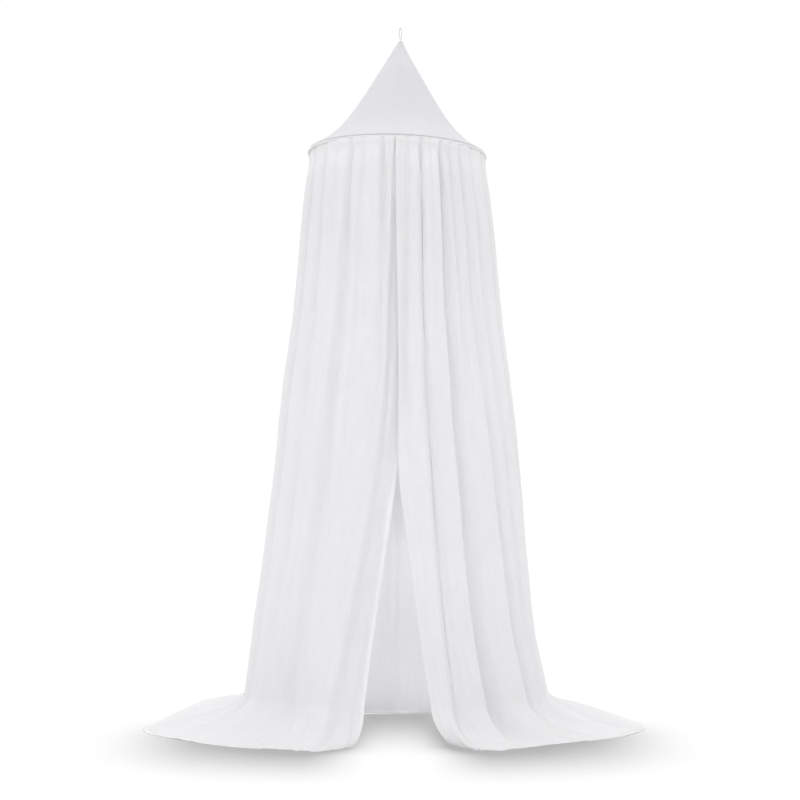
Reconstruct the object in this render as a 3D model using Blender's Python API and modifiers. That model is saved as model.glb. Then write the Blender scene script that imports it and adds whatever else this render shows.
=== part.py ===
"""A crib canopy: one gathered cotton drape under a cloth cone, spread by a hoop in a casing and hung from a loop.

Units are metres and +Z is up. The origin is the top of the hanging loop, where a ceiling hook holds it.
The drape is worked out from the floor up and round the hoop's axis. A bearing is an angle round that axis:
0 is the front (-Y), 90 the left (-X), 180 the back and 270 the right.
"""

import math
from collections import namedtuple

import bpy
import numpy as np

# Driving sizes
HANG_HEIGHT = 1.995  # from the ceiling hook down to the floor
HOOP_RADIUS = 0.250  # from the axis to the middle of the rod
HOOP_HEIGHT = 1.623  # of the rod's middle above the floor
HOOP_TILT = math.radians(1.7)  # the right side hangs a little lower
ROD_RADIUS = 0.0032
CASING_RADIUS = 0.0050
CASING_WALL = 0.0012
CASING_SLIT = math.radians(16)  # half the casing's opening, which faces the axis
ROOF_HEIGHT = 0.332  # from the rod's middle to the cone's tip
ROOF_TIP_RADIUS = 0.0054
AXIS_X = -ROOF_HEIGHT * math.sin(HOOP_TILT)  # the hoop's axis stands beside the hook, because the hoop tilts
ROOF_FLARE = 0.26  # the share of the hoop's radius that the cone gains only near the hoop
ROOF_FLARE_POWER = 10
ROOF_COLLAR = 0.004  # the upright strip of the cone that is sewn to the casing
ROOF_THICKNESS = 0.0015
DRAPE_THICKNESS = 0.0020
SEAT_GAP = 0.0003  # between pieces that are sewn to each other
ROUND_STEPS = 48
ROOF_STEPS = 10
ROOF_STEP_POWER = 1.5  # over 1 sets the cone's rows closer near the hoop

# The hanging loop, a tape 2 mm thick that is folded and sewn into the cone's tip
LOOP_EYE_WIDTH = 0.0074
LOOP_EYE_HEIGHT = 0.031
LOOP_TAPE = 0.0019
LOOP_TAPE_WIDTH = 0.0056
LOOP_TAIL_WIDTH = 0.0040
LOOP_TAIL_LENGTH = 0.016

# The drape across and along its cloth. Heights are above the floor.
WAIST = 0.90
WALL_FOOT = 0.105  # where the hanging cloth starts to turn onto the floor
COLUMNS_IN_A_FOLD = (0.0, 0.17, 0.50, 0.83)  # shares of the way from one valley to the next
WALL_DROPS = (0.0, 0.013, 0.04, 0.085, 0.15, 0.24, 0.36, 0.50, 0.64, 0.77, 0.89, 1.0)
FLOOR_SHARES = (0.22, 0.42, 0.62, 0.82, 1.0)
HOOP_SHARPNESS = 0.6  # under 1 makes narrow valleys between broad ridges
FLOOR_SHARPNESS = 1.5  # over 1 makes broad valleys between narrow ridges
SEAM_DEPTH_SHARE = 0.22  # of a valley's depth that is left where the cloth is sewn to the casing
SEAM_REACH = 0.075  # below the hoop, where the valleys have their full depth
FLOOR_BEND = 0.012  # how far outside the wall's foot the cloth reaches the floor
POOL_RIDGE = 0.014  # the highest that a fold stands where the cloth lies on the floor
RIDGE_VALLEY = 0.012  # a valley this deep at the foot has no ridge on the floor
FULL_RIDGE_REACH = 0.10  # a shorter reach of cloth on the floor has lower ridges
HEAP_SKEW = 2.3  # over 1 sets a heap's top nearer to the hem than to the wall

# Half widths and depths of the hanging cloth from the hoop's axis, and the x of its two front edges.
# The right edge lies over the left one from the hoop down to the middle, and below that they part.
Section = namedtuple("Section", "height left right front back left_edge right_edge")
SECTIONS = (
    Section(1.618, 0.250, 0.250, 0.250, 0.250, 0.034, -0.004),
    Section(1.550, 0.260, 0.257, 0.257, 0.257, 0.034, -0.004),
    Section(1.380, 0.275, 0.279, 0.266, 0.266, 0.034, -0.002),
    Section(1.150, 0.296, 0.298, 0.276, 0.276, 0.034, 0.002),
    Section(0.930, 0.328, 0.329, 0.286, 0.287, 0.028, 0.004),
    Section(0.722, 0.348, 0.346, 0.294, 0.297, 0.003, 0.005),
    Section(0.480, 0.377, 0.364, 0.302, 0.308, -0.033, 0.035),
    Section(0.250, 0.410, 0.394, 0.312, 0.317, -0.066, 0.062),
    Section(0.105, 0.428, 0.426, 0.324, 0.325, -0.085, 0.079),
)

# The valleys that show from the front, each with its bearing and its depth at the hoop, at mid height and at
# the foot. They run from the left front edge to the left side, and from the right side to the right edge.
Valley = namedtuple("Valley", "top waist foot top_depth waist_depth foot_depth")
LEFT_VALLEYS = (
    Valley(2.6, 3.0, 14.2, 0.016, 0.034, 0.032),
    Valley(11.0, 13.6, 27.0, 0.014, 0.006, 0.000),
    Valley(21.2, 23.4, 35.0, 0.009, 0.006, 0.002),
    Valley(29.5, 32.8, 42.4, 0.011, 0.013, 0.010),
    Valley(41.0, 42.5, 50.0, 0.006, 0.003, 0.000),
    Valley(52.0, 52.0, 59.0, 0.009, 0.012, 0.005),
)
RIGHT_VALLEYS = (
    Valley(306.0, 299.5, 292.0, 0.010, 0.012, 0.008),
    Valley(316.5, 311.0, 302.0, 0.012, 0.012, 0.014),
    Valley(325.2, 321.5, 314.0, 0.014, 0.002, 0.000),
    Valley(333.9, 333.8, 324.5, 0.016, 0.019, 0.024),
    Valley(340.6, 340.5, 333.0, 0.008, 0.000, 0.000),
    Valley(347.7, 347.7, 340.6, 0.017, 0.013, 0.009),
    Valley(353.2, 354.6, 346.2, 0.010, 0.006, 0.002),
)
UNSEEN_VALLEYS = 19  # round the sides and the back, as full as the front
UNSEEN_DRIFTS = ((2.6, 2.4, 0.0), (1.5, 5.1, 1.0))  # degrees, step and start of the waves that space them
UNSEEN_DEPTHS = ((0.013, 0.017, 0.014), (0.009, 0.004, 0.001), (0.012, 0.010, 0.009))  # hoop, middle, foot
EDGE_TUCK = 0.016  # how far the left edge lies behind the right one
SLIT_TOP = 0.68  # below this height the left edge comes forward
SLIT_BLEND = 0.20

# Where the hem lies on the floor for the cloth that comes down at a bearing, and how high the cloth is heaped
# up on the way there
HemPoint = namedtuple("HemPoint", "bearing x y heap")
HEM = (
    HemPoint(11.0, -0.126, -0.318, 0.000),
    HemPoint(19.0, -0.192, -0.372, 0.000),
    HemPoint(33.0, -0.310, -0.345, 0.000),
    HemPoint(50.0, -0.450, -0.288, 0.004),
    HemPoint(68.0, -0.590, -0.165, 0.008),
    HemPoint(84.0, -0.692, -0.048, 0.012),
    HemPoint(95.0, -0.714, 0.045, 0.024),
    HemPoint(106.0, -0.692, 0.158, 0.042),
    HemPoint(120.0, -0.622, 0.270, 0.046),
    HemPoint(135.0, -0.475, 0.345, 0.040),
    HemPoint(150.0, -0.275, 0.362, 0.018),
    HemPoint(165.0, -0.125, 0.345, 0.004),
    HemPoint(180.0, 0.000, 0.334, 0.000),
    HemPoint(195.0, 0.125, 0.342, 0.004),
    HemPoint(210.0, 0.275, 0.360, 0.014),
    HemPoint(225.0, 0.455, 0.340, 0.030),
    HemPoint(240.0, 0.608, 0.250, 0.030),
    HemPoint(255.0, 0.684, 0.142, 0.023),
    HemPoint(267.0, 0.700, 0.040, 0.014),
    HemPoint(279.0, 0.672, -0.030, 0.009),
    HemPoint(295.0, 0.592, -0.140, 0.006),
    HemPoint(310.0, 0.470, -0.224, 0.002),
    HemPoint(325.0, 0.350, -0.305, 0.000),
    HemPoint(338.0, 0.240, -0.374, 0.000),
    HemPoint(349.0, 0.160, -0.312, 0.000),
)


def clear_scene():
    for obj in list(bpy.data.objects):
        bpy.data.objects.remove(obj)


def material(name, colour, roughness, metallic=0.0):
    made = bpy.data.materials.new(name)
    made.use_nodes = True
    shader = made.node_tree.nodes["Principled BSDF"]
    shader.inputs["Base Color"].default_value = (*colour, 1.0)
    shader.inputs["Roughness"].default_value = roughness
    shader.inputs["Metallic"].default_value = metallic
    return made


def place(obj, name, collection, parent, finish):
    """Names an object, gives it its material and hangs it under its empty."""
    obj.name = name
    obj.data.name = name
    obj.parent = parent
    obj.data.materials.append(finish)
    for other in list(obj.users_collection):
        other.objects.unlink(obj)
    collection.objects.link(obj)
    return obj


def smooth_table(at, places, values):
    """A smooth curve through a table's values: cubic pieces whose slope at each row comes from its neighbours."""
    order = np.argsort(places)
    places = np.asarray(places, float)[order]
    values = np.asarray(values, float)[order]
    slopes = np.gradient(values, places)
    at = np.clip(at, places[0], places[-1])
    i = np.clip(np.searchsorted(places, at) - 1, 0, len(places) - 2)
    step = places[i + 1] - places[i]
    t = (at - places[i]) / step
    return (
        (1 + 2 * t) * (1 - t) ** 2 * values[i]
        + t * (1 - t) ** 2 * step * slopes[i]
        + t * t * (3 - 2 * t) * values[i + 1]
        + t * t * (t - 1) * step * slopes[i + 1]
    )


def smooth_step(t):
    t = np.clip(t, 0.0, 1.0)
    return t * t * (3 - 2 * t)


def section_value(name, height):
    return smooth_table(height, [s.height for s in SECTIONS], [getattr(s, name) for s in SECTIONS])


def unseen_valleys():
    """Valleys spread unevenly from the left side round the back to the right side."""
    first, last = LEFT_VALLEYS[-1], RIGHT_VALLEYS[0]
    found = []
    for i in range(UNSEEN_VALLEYS):
        share = (i + 1) / (UNSEEN_VALLEYS + 1)
        drift = sum(size * math.sin(step * i + start) for size, step, start in UNSEEN_DRIFTS)
        top = first.top + share * (last.top - first.top) + drift
        foot = first.foot + share * (last.foot - first.foot) + 1.4 * drift
        depths = UNSEEN_DEPTHS[i % len(UNSEEN_DEPTHS)]
        vary = 1 + 0.25 * math.sin(3.7 * i)
        found.append(Valley(top, (top + foot) / 2, foot, *(vary * depth for depth in depths)))
    return found


def along_fold(top, waist, foot, height):
    """A fold's value at a height, from its values at the hoop, at mid height and at the foot."""
    return smooth_table(height, [WALL_FOOT, WAIST, HOOP_HEIGHT], [foot, waist, top])


def edge_bearing(name, height):
    """The bearing of a front edge, from its x."""
    x = section_value(name, height)
    reach = section_value("left" if x < 0 else "right", height)
    return -math.degrees(math.asin(x / reach))


def fold_lines(height):
    """Bearing and inward offset of each line that the cloth's section runs through, from edge to edge."""
    parted = smooth_step((SLIT_TOP - height) / SLIT_BLEND)
    tuck = EDGE_TUCK * (1 - 0.75 * parted)
    lines = [(edge_bearing("left_edge", height), tuck)]
    for valley in (*LEFT_VALLEYS, *unseen_valleys(), *RIGHT_VALLEYS):
        bearing = along_fold(valley.top, valley.waist, valley.foot, height)
        depth = along_fold(valley.top_depth, valley.waist_depth, valley.foot_depth, height)
        lines.append((float(bearing), max(0.0, float(depth))))
    lines.append((360 + edge_bearing("right_edge", height), 0.002))
    return lines


def section_columns(height):
    """Bearing and inward offset of every column of cloth at a height."""
    lines = fold_lines(height)
    opened = SEAM_DEPTH_SHARE + (1 - SEAM_DEPTH_SHARE) * smooth_step((HOOP_HEIGHT - height) / SEAM_REACH)
    sharpness = HOOP_SHARPNESS + (FLOOR_SHARPNESS - HOOP_SHARPNESS) * (1 - height / HOOP_HEIGHT)
    bearings, offsets = [], []
    for i, (here, after) in enumerate(zip(lines, lines[1:])):
        for share in COLUMNS_IN_A_FOLD:
            valley = here[1] + (after[1] - here[1]) * smooth_step(share)
            ridge = 0.0 if i == 0 else abs(math.sin(math.pi * share)) ** sharpness
            bearings.append(here[0] + (after[0] - here[0]) * share)
            offsets.append(valley * (1 - ridge) * opened)
    bearings.append(lines[-1][0])
    offsets.append(lines[-1][1])
    return np.array(bearings), np.array(offsets)


def wall_points(height):
    """The cloth's section at a height above the floor, and the way that each of its points faces."""
    bearings, offsets = section_columns(height)
    turn = np.radians(bearings)
    side = np.where(np.sin(turn) > 0, section_value("left", height), section_value("right", height))
    depth = np.where(np.cos(turn) > 0, section_value("front", height), section_value("back", height))
    outward = np.stack([-np.sin(turn) * depth, -np.cos(turn) * side, np.zeros(len(turn))], axis=1)
    outward /= np.linalg.norm(outward, axis=1)[:, None]
    points = np.stack([-side * np.sin(turn), -depth * np.cos(turn), np.full(len(turn), height)], axis=1)
    return points - outward * offsets[:, None], outward


def drape_rows():
    """Rows of points from the hoop down to the floor and out to the hem."""
    top = HOOP_HEIGHT - CASING_RADIUS - 2 * SEAT_GAP
    rows = []
    for drop in WALL_DROPS:
        height = top + (WALL_FOOT - top) * drop
        points, _ = wall_points(height)
        # The top edge follows the tilted hoop, and the tilt dies out on the way down.
        points[:, 2] -= math.tan(HOOP_TILT) * points[:, 0] * smooth_step(1 - drop * 3)
        rows.append(points)
    foot, outward = wall_points(WALL_FOOT)
    bearings, offsets = section_columns(WALL_FOOT)
    hem_at = [h.bearing for h in HEM]
    hem = np.stack(
        [
            smooth_table(bearings, hem_at, [h.x for h in HEM]),
            smooth_table(bearings, hem_at, [h.y for h in HEM]),
            np.full(len(bearings), DRAPE_THICKNESS / 2),
        ],
        axis=1,
    )
    corner = foot + outward * FLOOR_BEND
    corner[:, 2] = DRAPE_THICKNESS / 2
    reach = np.linalg.norm((hem - corner)[:, :2], axis=1)
    ridge = POOL_RIDGE * np.clip(1 - offsets / RIDGE_VALLEY, 0, 1) * smooth_step(reach / FULL_RIDGE_REACH)
    heap = smooth_table(bearings, hem_at, [h.heap for h in HEM])
    for share in FLOOR_SHARES:
        points = (1 - share) ** 2 * foot + 2 * share * (1 - share) * corner + share**2 * hem
        points[:, 2] += ridge * 6.75 * share * (1 - share) ** 2  # highest, at 1, a third of the way out
        points[:, 2] += heap * math.sin(math.pi * share**HEAP_SKEW)
        rows.append(points)
    return rows


def make_drape(collection, parent):
    """One cloth, shaped from a flat grid, with a wall of cloth on both sides of it."""
    rows = drape_rows()
    across = len(rows[0])
    bpy.ops.mesh.primitive_grid_add(x_subdivisions=across - 1, y_subdivisions=len(rows) - 1, size=2)
    drape = bpy.context.object
    for vertex in drape.data.vertices:
        column = round((vertex.co.x + 1) / 2 * (across - 1))
        row = round((1 - vertex.co.y) / 2 * (len(rows) - 1))
        vertex.co = rows[row][column]
    wall = drape.modifiers.new("cloth", "SOLIDIFY")
    wall.thickness = DRAPE_THICKNESS
    wall.offset = 0.0
    drape.data.shade_smooth()
    return place(drape, "drape", collection, parent, material("muslin", (0.90, 0.90, 0.91), 0.95))


def turned(name, profile, closed):
    """An object made by turning a profile of (radius, height) points round the Z axis."""
    mesh = bpy.data.meshes.new(name)
    count = len(profile)
    edges = [(i, (i + 1) % count) for i in range(count if closed else count - 1)]
    mesh.from_pydata([(radius, 0.0, height) for radius, height in profile], edges, [])
    obj = bpy.data.objects.new(name, mesh)
    screw = obj.modifiers.new("turn", "SCREW")
    screw.steps = ROUND_STEPS
    screw.render_steps = ROUND_STEPS
    screw.use_merge_vertices = True
    screw.merge_threshold = 0.00005
    screw.use_smooth_shade = True
    return obj


def make_roof(collection, parent):
    """The cone: its side bows in between the tip and the hoop, because its cloth is pulled tight."""
    seat = CASING_RADIUS + SEAT_GAP
    profile = []
    for i in range(ROOF_STEPS + 1):
        drop = 1 - (1 - i / ROOF_STEPS) ** ROOF_STEP_POWER
        reach = (1 - ROOF_FLARE) * drop + ROOF_FLARE * drop**ROOF_FLARE_POWER
        radius = ROOF_TIP_RADIUS + (HOOP_RADIUS - ROOF_TIP_RADIUS) * reach
        profile.append((radius, ROOF_HEIGHT + (seat + ROOF_COLLAR - ROOF_HEIGHT) * drop))
    profile.append((HOOP_RADIUS, seat))
    roof = turned("roof", profile, closed=False)
    wall = roof.modifiers.new("cloth", "SOLIDIFY")
    wall.thickness = ROOF_THICKNESS
    wall.offset = -1.0
    return place(roof, "roof", collection, parent, material("roof_cotton", (0.84, 0.84, 0.86), 0.9))


def make_casing(collection, parent):
    """The cloth tube sewn round the rod, open along its inner side."""
    inner = CASING_RADIUS - CASING_WALL

    def arc(radius, steps, forward):
        """Points of the C-shaped section, from one lip of the slit round to the other."""
        ends = (math.pi - CASING_SLIT, -math.pi + CASING_SLIT)
        start, stop = ends if forward else ends[::-1]
        for i in range(steps + 1):
            angle = start + (stop - start) * i / steps
            yield HOOP_RADIUS + radius * math.cos(angle), radius * math.sin(angle)

    profile = [*arc(CASING_RADIUS, 8, True), *arc(inner, 7, False)]
    casing = turned("hoop_casing", profile, closed=True)
    return place(casing, "hoop_casing", collection, parent, material("casing_cotton", (0.80, 0.80, 0.81), 0.9))


def make_hoop(collection, parent):
    """The rod bent to a ring that keeps the canopy open."""
    bpy.ops.mesh.primitive_torus_add(
        major_segments=ROUND_STEPS, minor_segments=8, major_radius=HOOP_RADIUS, minor_radius=ROD_RADIUS
    )
    hoop = bpy.context.object
    hoop.data.shade_smooth()
    return place(hoop, "hoop", collection, parent, material("hoop_plastic", (0.86, 0.86, 0.85), 0.5))


def slot_outline(width, low, high, steps=8):
    """An upright slot's outline, with a round top and a pointed foot."""
    radius = width / 2
    arc = [math.pi * i / steps for i in range(steps + 1)]
    points = [(radius * math.cos(a), high - radius + radius * math.sin(a)) for a in arc]
    return [*points, (-radius, low + width), (0.0, low), (radius, low + width)]


def make_loop(collection, parent):
    """The tape folded into an eye, with both ends sewn together as a tail in the cone's tip."""
    outer_width = LOOP_EYE_WIDTH + 2 * LOOP_TAPE
    foot = -LOOP_EYE_HEIGHT - 2 * LOOP_TAPE
    half_tail = LOOP_TAIL_WIDTH / 2
    outer = slot_outline(outer_width, foot, 0.0)
    tail = [(-half_tail, foot), (-half_tail, foot - LOOP_TAIL_LENGTH), (half_tail, foot - LOOP_TAIL_LENGTH)]
    outer = [*outer[:-2], *tail, (half_tail, foot), outer[-1]]
    eye = slot_outline(LOOP_EYE_WIDTH, foot + 1.5 * LOOP_TAPE, -LOOP_TAPE)
    curve = bpy.data.curves.new("hanging_loop", "CURVE")
    curve.dimensions = "2D"
    curve.fill_mode = "BOTH"
    curve.extrude = LOOP_TAPE_WIDTH / 2
    for outline in (outer, eye):
        spline = curve.splines.new("POLY")
        spline.points.add(len(outline) - 1)
        for point, (x, y) in zip(spline.points, outline):
            point.co = (x, y, 0.0, 1.0)
        spline.use_cyclic_u = True
    loop = bpy.data.objects.new("hanging_loop", curve)
    loop.rotation_euler = (math.radians(90), 0.0, 0.0)  # stands the outline up, with its eye facing the front
    return place(loop, "hanging_loop", collection, parent, material("tape_cotton", (0.82, 0.82, 0.82), 0.9))


def make_empty(name, collection, location, tilt=0.0):
    empty = bpy.data.objects.new(name, None)
    empty.location = location
    empty.rotation_euler = (0.0, tilt, 0.0)
    collection.objects.link(empty)
    return empty


def main():
    clear_scene()
    collection = bpy.data.collections.new("crib_canopy")
    bpy.context.scene.collection.children.link(collection)
    hook = make_empty("hook_point", collection, (0.0, 0.0, 0.0))
    centre = make_empty("hoop_centre", collection, (AXIS_X, 0.0, HOOP_HEIGHT - HANG_HEIGHT), HOOP_TILT)
    floor = make_empty("floor_level", collection, (AXIS_X, 0.0, -HANG_HEIGHT))
    make_loop(collection, hook)
    make_roof(collection, centre)
    make_casing(collection, centre)
    make_hoop(collection, centre)
    make_drape(collection, floor)


main()
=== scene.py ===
# %% [markdown]
# # A crib canopy with a hoop
#
# One wide cotton drape is gathered onto a hoop, a small cloth cone closes the top, and a tape loop hangs it
# all from the ceiling. The drape is open at the front, where its right edge lies over its left one, and its
# lower end is spread out on the floor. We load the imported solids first, because every piece has to sit on
# them.

# %% Load the solids
import math
from collections import namedtuple

import bpy
import numpy as np
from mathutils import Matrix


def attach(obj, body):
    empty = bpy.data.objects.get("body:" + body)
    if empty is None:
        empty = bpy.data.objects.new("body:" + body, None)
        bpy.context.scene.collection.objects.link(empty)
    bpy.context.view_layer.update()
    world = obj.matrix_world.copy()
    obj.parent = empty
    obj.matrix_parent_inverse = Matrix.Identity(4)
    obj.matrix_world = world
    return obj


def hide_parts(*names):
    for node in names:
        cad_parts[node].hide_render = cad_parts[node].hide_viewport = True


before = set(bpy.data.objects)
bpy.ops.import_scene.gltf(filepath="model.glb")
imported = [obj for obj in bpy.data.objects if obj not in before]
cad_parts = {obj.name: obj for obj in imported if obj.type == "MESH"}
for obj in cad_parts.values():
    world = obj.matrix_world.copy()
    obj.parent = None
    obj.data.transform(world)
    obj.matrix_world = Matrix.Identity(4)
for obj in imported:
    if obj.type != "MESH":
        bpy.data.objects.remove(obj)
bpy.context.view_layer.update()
HANG_HEIGHT = 1.995  # from the ceiling hook, where the origin is, down to the floor
FLOOR = -HANG_HEIGHT

# %% [markdown]
# ## The camera
#
# The photograph was taken low, so that the floor is a narrow strip, and a little upwards. The distance and
# the height come from how far the hoop's front arc and the front and back hems lie apart in the picture. A
# focal length can be given in the picture's own pixels, and the sensor's width turns it into millimetres.

# %% Camera
PICTURE_WIDTH = 800  # pixels
FOCAL_PIXELS = 1593
SENSOR_WIDTH = 36.0
CAMERA_HEIGHT = 0.65  # above the floor
CAMERA_DISTANCE = 4.5
CAMERA_SIDE = -0.0014
LIFTED_PIXELS = 97.5  # how far above the horizon the middle of the picture lies


def in_scene(name, data):
    """A new object that holds this data, linked into the scene."""
    made = bpy.data.objects.new(name, data)
    bpy.context.scene.collection.objects.link(made)
    return made


camera = in_scene("camera", bpy.data.cameras.new("camera"))
camera.data.sensor_width = SENSOR_WIDTH
camera.data.lens = FOCAL_PIXELS / PICTURE_WIDTH * SENSOR_WIDTH
camera.location = (CAMERA_SIDE, -CAMERA_DISTANCE, FLOOR + CAMERA_HEIGHT)
camera.rotation_euler = (math.radians(90) + math.atan(LIFTED_PIXELS / FOCAL_PIXELS), 0.0, 0.0)
bpy.context.scene.camera = camera
print("camera lens", round(camera.data.lens, 1), "mm")

# %% [markdown]
# ## The curves that everything uses
#
# Cloth has no corners, so whatever we read from a table is joined by a smooth curve. `smooth_table` runs
# through the rows of a table, `smooth_step` goes softly from nought to one, and `rising` from a lower value
# to one.

# %% Smooth curves
def smooth_step(t):
    t = np.clip(t, 0.0, 1.0)
    return t * t * (3 - 2 * t)


def rising(low, t):
    return low + (1 - low) * smooth_step(t)


def smooth_table(at, places, values):
    """Cubic pieces through a table's values, each with a slope that comes from its neighbours."""
    order = np.argsort(places)
    places = np.asarray(places, float)[order]
    values = np.asarray(values, float)[order]
    slopes = np.gradient(values, places)
    at = np.clip(at, places[0], places[-1])
    i = np.clip(np.searchsorted(places, at) - 1, 0, len(places) - 2)
    step = places[i + 1] - places[i]
    t = (at - places[i]) / step
    return (
        (1 + 2 * t) * (1 - t) ** 2 * values[i]
        + t * (1 - t) ** 2 * step * slopes[i]
        + t * t * (3 - 2 * t) * values[i + 1]
        + t * t * (t - 1) * step * slopes[i + 1]
    )


print("half way along a smooth step:", float(smooth_step(0.5)))

# %% [markdown]
# ## Uneven cloth
#
# No two folds are alike. A table of random numbers with soft steps between them gives an unevenness whose
# grain we choose across and along the cloth: long narrow grains are crinkles, and wide ones are a slack or a
# drift. Each use has a seed of its own, so the cloth is the same in each run.

# %% Unevenness
def uneven(across, along, wide, long, seed):
    """Smooth random values from -1 to 1 for places on the cloth, in grains `wide` by `long` metres."""
    x = (across - across.min()) / wide
    y = (along - along.min()) / long
    grains = np.random.default_rng(seed).uniform(-1, 1, (int(x.max()) + 2, int(y.max()) + 2))
    i, j = x.astype(int), y.astype(int)
    s, t = smooth_step(x - i), smooth_step(y - j)
    near = grains[i, j] * (1 - s) + grains[i + 1, j] * s
    far = grains[i, j + 1] * (1 - s) + grains[i + 1, j + 1] * s
    return near * (1 - t) + far * t


trial = np.linspace(0, 1, 50)
print("unevenness runs from", round(float(uneven(trial, trial, 0.1, 0.1, 1).min()), 2), "up")

# %% [markdown]
# ## The drape's tables
#
# A section through the hanging cloth is an oval that grows from the hoop down to the floor. Valleys run down
# it, and each has its own bearing and depth at the hoop, at mid height and at the foot, as the photograph
# shows them. A bearing is an angle round the hoop's axis, in degrees: 0 is the front, 90 the left, 180 the
# back and 270 the right. A valley's two half widths are those at the foot, in metres.

# %% Sections and valleys
HOOP_RADIUS = 0.250
HOOP_HEIGHT = 1.623  # of the rod's middle above the floor
HOOP_TILT = math.radians(1.7)  # the right side hangs a little lower
ROOF_HEIGHT = 0.332
AXIS_X = -ROOF_HEIGHT * math.sin(HOOP_TILT)
CASING_RADIUS = 0.0050
SEAT_GAP = 0.0003
WAIST = 0.90
WALL_FOOT = 0.105  # where the hanging cloth starts to turn onto the floor


def rows_of(kind, rows):
    """A table's rows, each with the names of its columns."""
    return tuple(kind(*row) for row in rows)


Section = namedtuple("Section", "height left right front back left_edge right_edge")
SECTIONS = rows_of(Section, (
    (1.618, 0.247, 0.249, 0.250, 0.250, 0.034, -0.004),
    (1.550, 0.257, 0.257, 0.257, 0.257, 0.034, -0.004),
    (1.380, 0.275, 0.275, 0.266, 0.266, 0.034, -0.002),
    (1.150, 0.300, 0.294, 0.276, 0.276, 0.034, 0.002),
    (0.930, 0.328, 0.323, 0.286, 0.287, 0.028, 0.004),
    (0.722, 0.348, 0.346, 0.294, 0.297, 0.003, 0.005),
    (0.480, 0.377, 0.367, 0.302, 0.308, -0.033, 0.035),
    (0.250, 0.410, 0.394, 0.312, 0.317, -0.066, 0.065),
    (0.105, 0.428, 0.426, 0.324, 0.325, -0.085, 0.089),
))
Valley = namedtuple("Valley", "top waist foot top_depth waist_depth foot_depth left_width right_width")
LEFT_VALLEYS = rows_of(Valley, (
    (1.5, 3.6, 18.6, 0.004, 0.016, 0.023, 0.030, 0.025),
    (8.6, 10.0, 27.0, 0.011, 0.005, 0.000, 0.014, 0.014),
    (21.2, 23.4, 35.5, 0.006, 0.006, 0.004, 0.018, 0.020),
    (29.5, 32.8, 42.4, 0.009, 0.018, 0.019, 0.032, 0.030),
    (41.0, 42.5, 50.0, 0.004, 0.003, 0.003, 0.018, 0.018),
    (52.0, 52.0, 59.0, 0.007, 0.013, 0.010, 0.026, 0.030),
))
RIGHT_VALLEYS = rows_of(Valley, (
    (306.0, 299.5, 292.0, 0.008, 0.012, 0.012, 0.020, 0.026),
    (316.5, 311.0, 302.0, 0.009, 0.014, 0.023, 0.010, 0.034),
    (325.2, 321.5, 314.0, 0.010, 0.004, 0.000, 0.014, 0.016),
    (332.0, 331.3, 324.5, 0.013, 0.022, 0.036, 0.008, 0.042),
    (338.8, 338.6, 332.0, 0.005, 0.002, 0.000, 0.012, 0.014),
    (344.9, 345.2, 338.6, 0.013, 0.017, 0.021, 0.010, 0.038),
    (353.2, 354.6, 344.2, 0.008, 0.005, 0.002, 0.010, 0.012),
))
UNSEEN_VALLEYS = 19
UNSEEN_WIDTH = 0.017
UNSEEN_DRIFTS = ((2.6, 2.4, 0.0), (1.5, 5.1, 1.0))  # degrees, step and start of the waves that space them
UNSEEN_FOOT_DRIFT = 1.4  # how much more they drift at the foot
UNSEEN_VARY, UNSEEN_VARY_STEP = 0.25, 3.7  # share of the depth, and step of the wave that changes it
UNSEEN_DEPTHS = ((0.014, 0.017, 0.011), (0.010, 0.005, 0.001), (0.013, 0.011, 0.007))
print(len(LEFT_VALLEYS) + UNSEEN_VALLEYS + len(RIGHT_VALLEYS), "valleys round the drape")

# %% [markdown]
# The hem lies on the floor far outside the wall of cloth, most of all at the two sides. This table says
# where the cloth that comes down at a bearing ends, and how high it is heaped up on its way there.

# %% Hem on the floor
HemPoint = namedtuple("HemPoint", "bearing x y heap")
HEM = rows_of(HemPoint, (
    (11.0, -0.126, -0.318, 0.000),
    (19.0, -0.192, -0.372, 0.000),
    (33.0, -0.310, -0.345, 0.000),
    (50.0, -0.450, -0.288, 0.004),
    (68.0, -0.590, -0.165, 0.008),
    (84.0, -0.692, -0.048, 0.012),
    (95.0, -0.714, 0.045, 0.024),
    (106.0, -0.692, 0.158, 0.042),
    (120.0, -0.622, 0.270, 0.046),
    (135.0, -0.475, 0.345, 0.040),
    (150.0, -0.275, 0.362, 0.018),
    (165.0, -0.125, 0.345, 0.004),
    (180.0, 0.000, 0.334, 0.000),
    (195.0, 0.125, 0.342, 0.004),
    (210.0, 0.275, 0.360, 0.014),
    (225.0, 0.455, 0.340, 0.030),
    (240.0, 0.608, 0.250, 0.030),
    (255.0, 0.684, 0.142, 0.023),
    (267.0, 0.700, 0.040, 0.014),
    (279.0, 0.672, -0.030, 0.009),
    (295.0, 0.592, -0.140, 0.006),
    (310.0, 0.470, -0.224, 0.002),
    (325.0, 0.350, -0.305, 0.000),
    (338.0, 0.240, -0.374, 0.000),
    (349.0, 0.168, -0.314, 0.000),
))
print("the hem reaches from x", min(h.x for h in HEM), "to", max(h.x for h in HEM))

# %% [markdown]
# ## From valleys to a cloth
#
# The cloth's columns are spread between one valley and the next. A column half way is on the ridge. Near the
# hoop the cloth is full, so its ridges are broad and its valleys narrow, and near the floor it is the other
# way round. Each fold leans a little to one side, as a fold that hangs free does. Nobody sees the folds at the
# back from the front, so they get fewer columns and are spread by a rule instead of one by one.

# %% Columns of the cloth
SEEN_COLUMNS = 14  # in a fold that shows from the front
UNSEEN_COLUMNS = 7
FOLD_LEAN, LEAN_SEED = 0.30, 11


def section_value(name, height):
    return smooth_table(height, [s.height for s in SECTIONS], [getattr(s, name) for s in SECTIONS])


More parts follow.
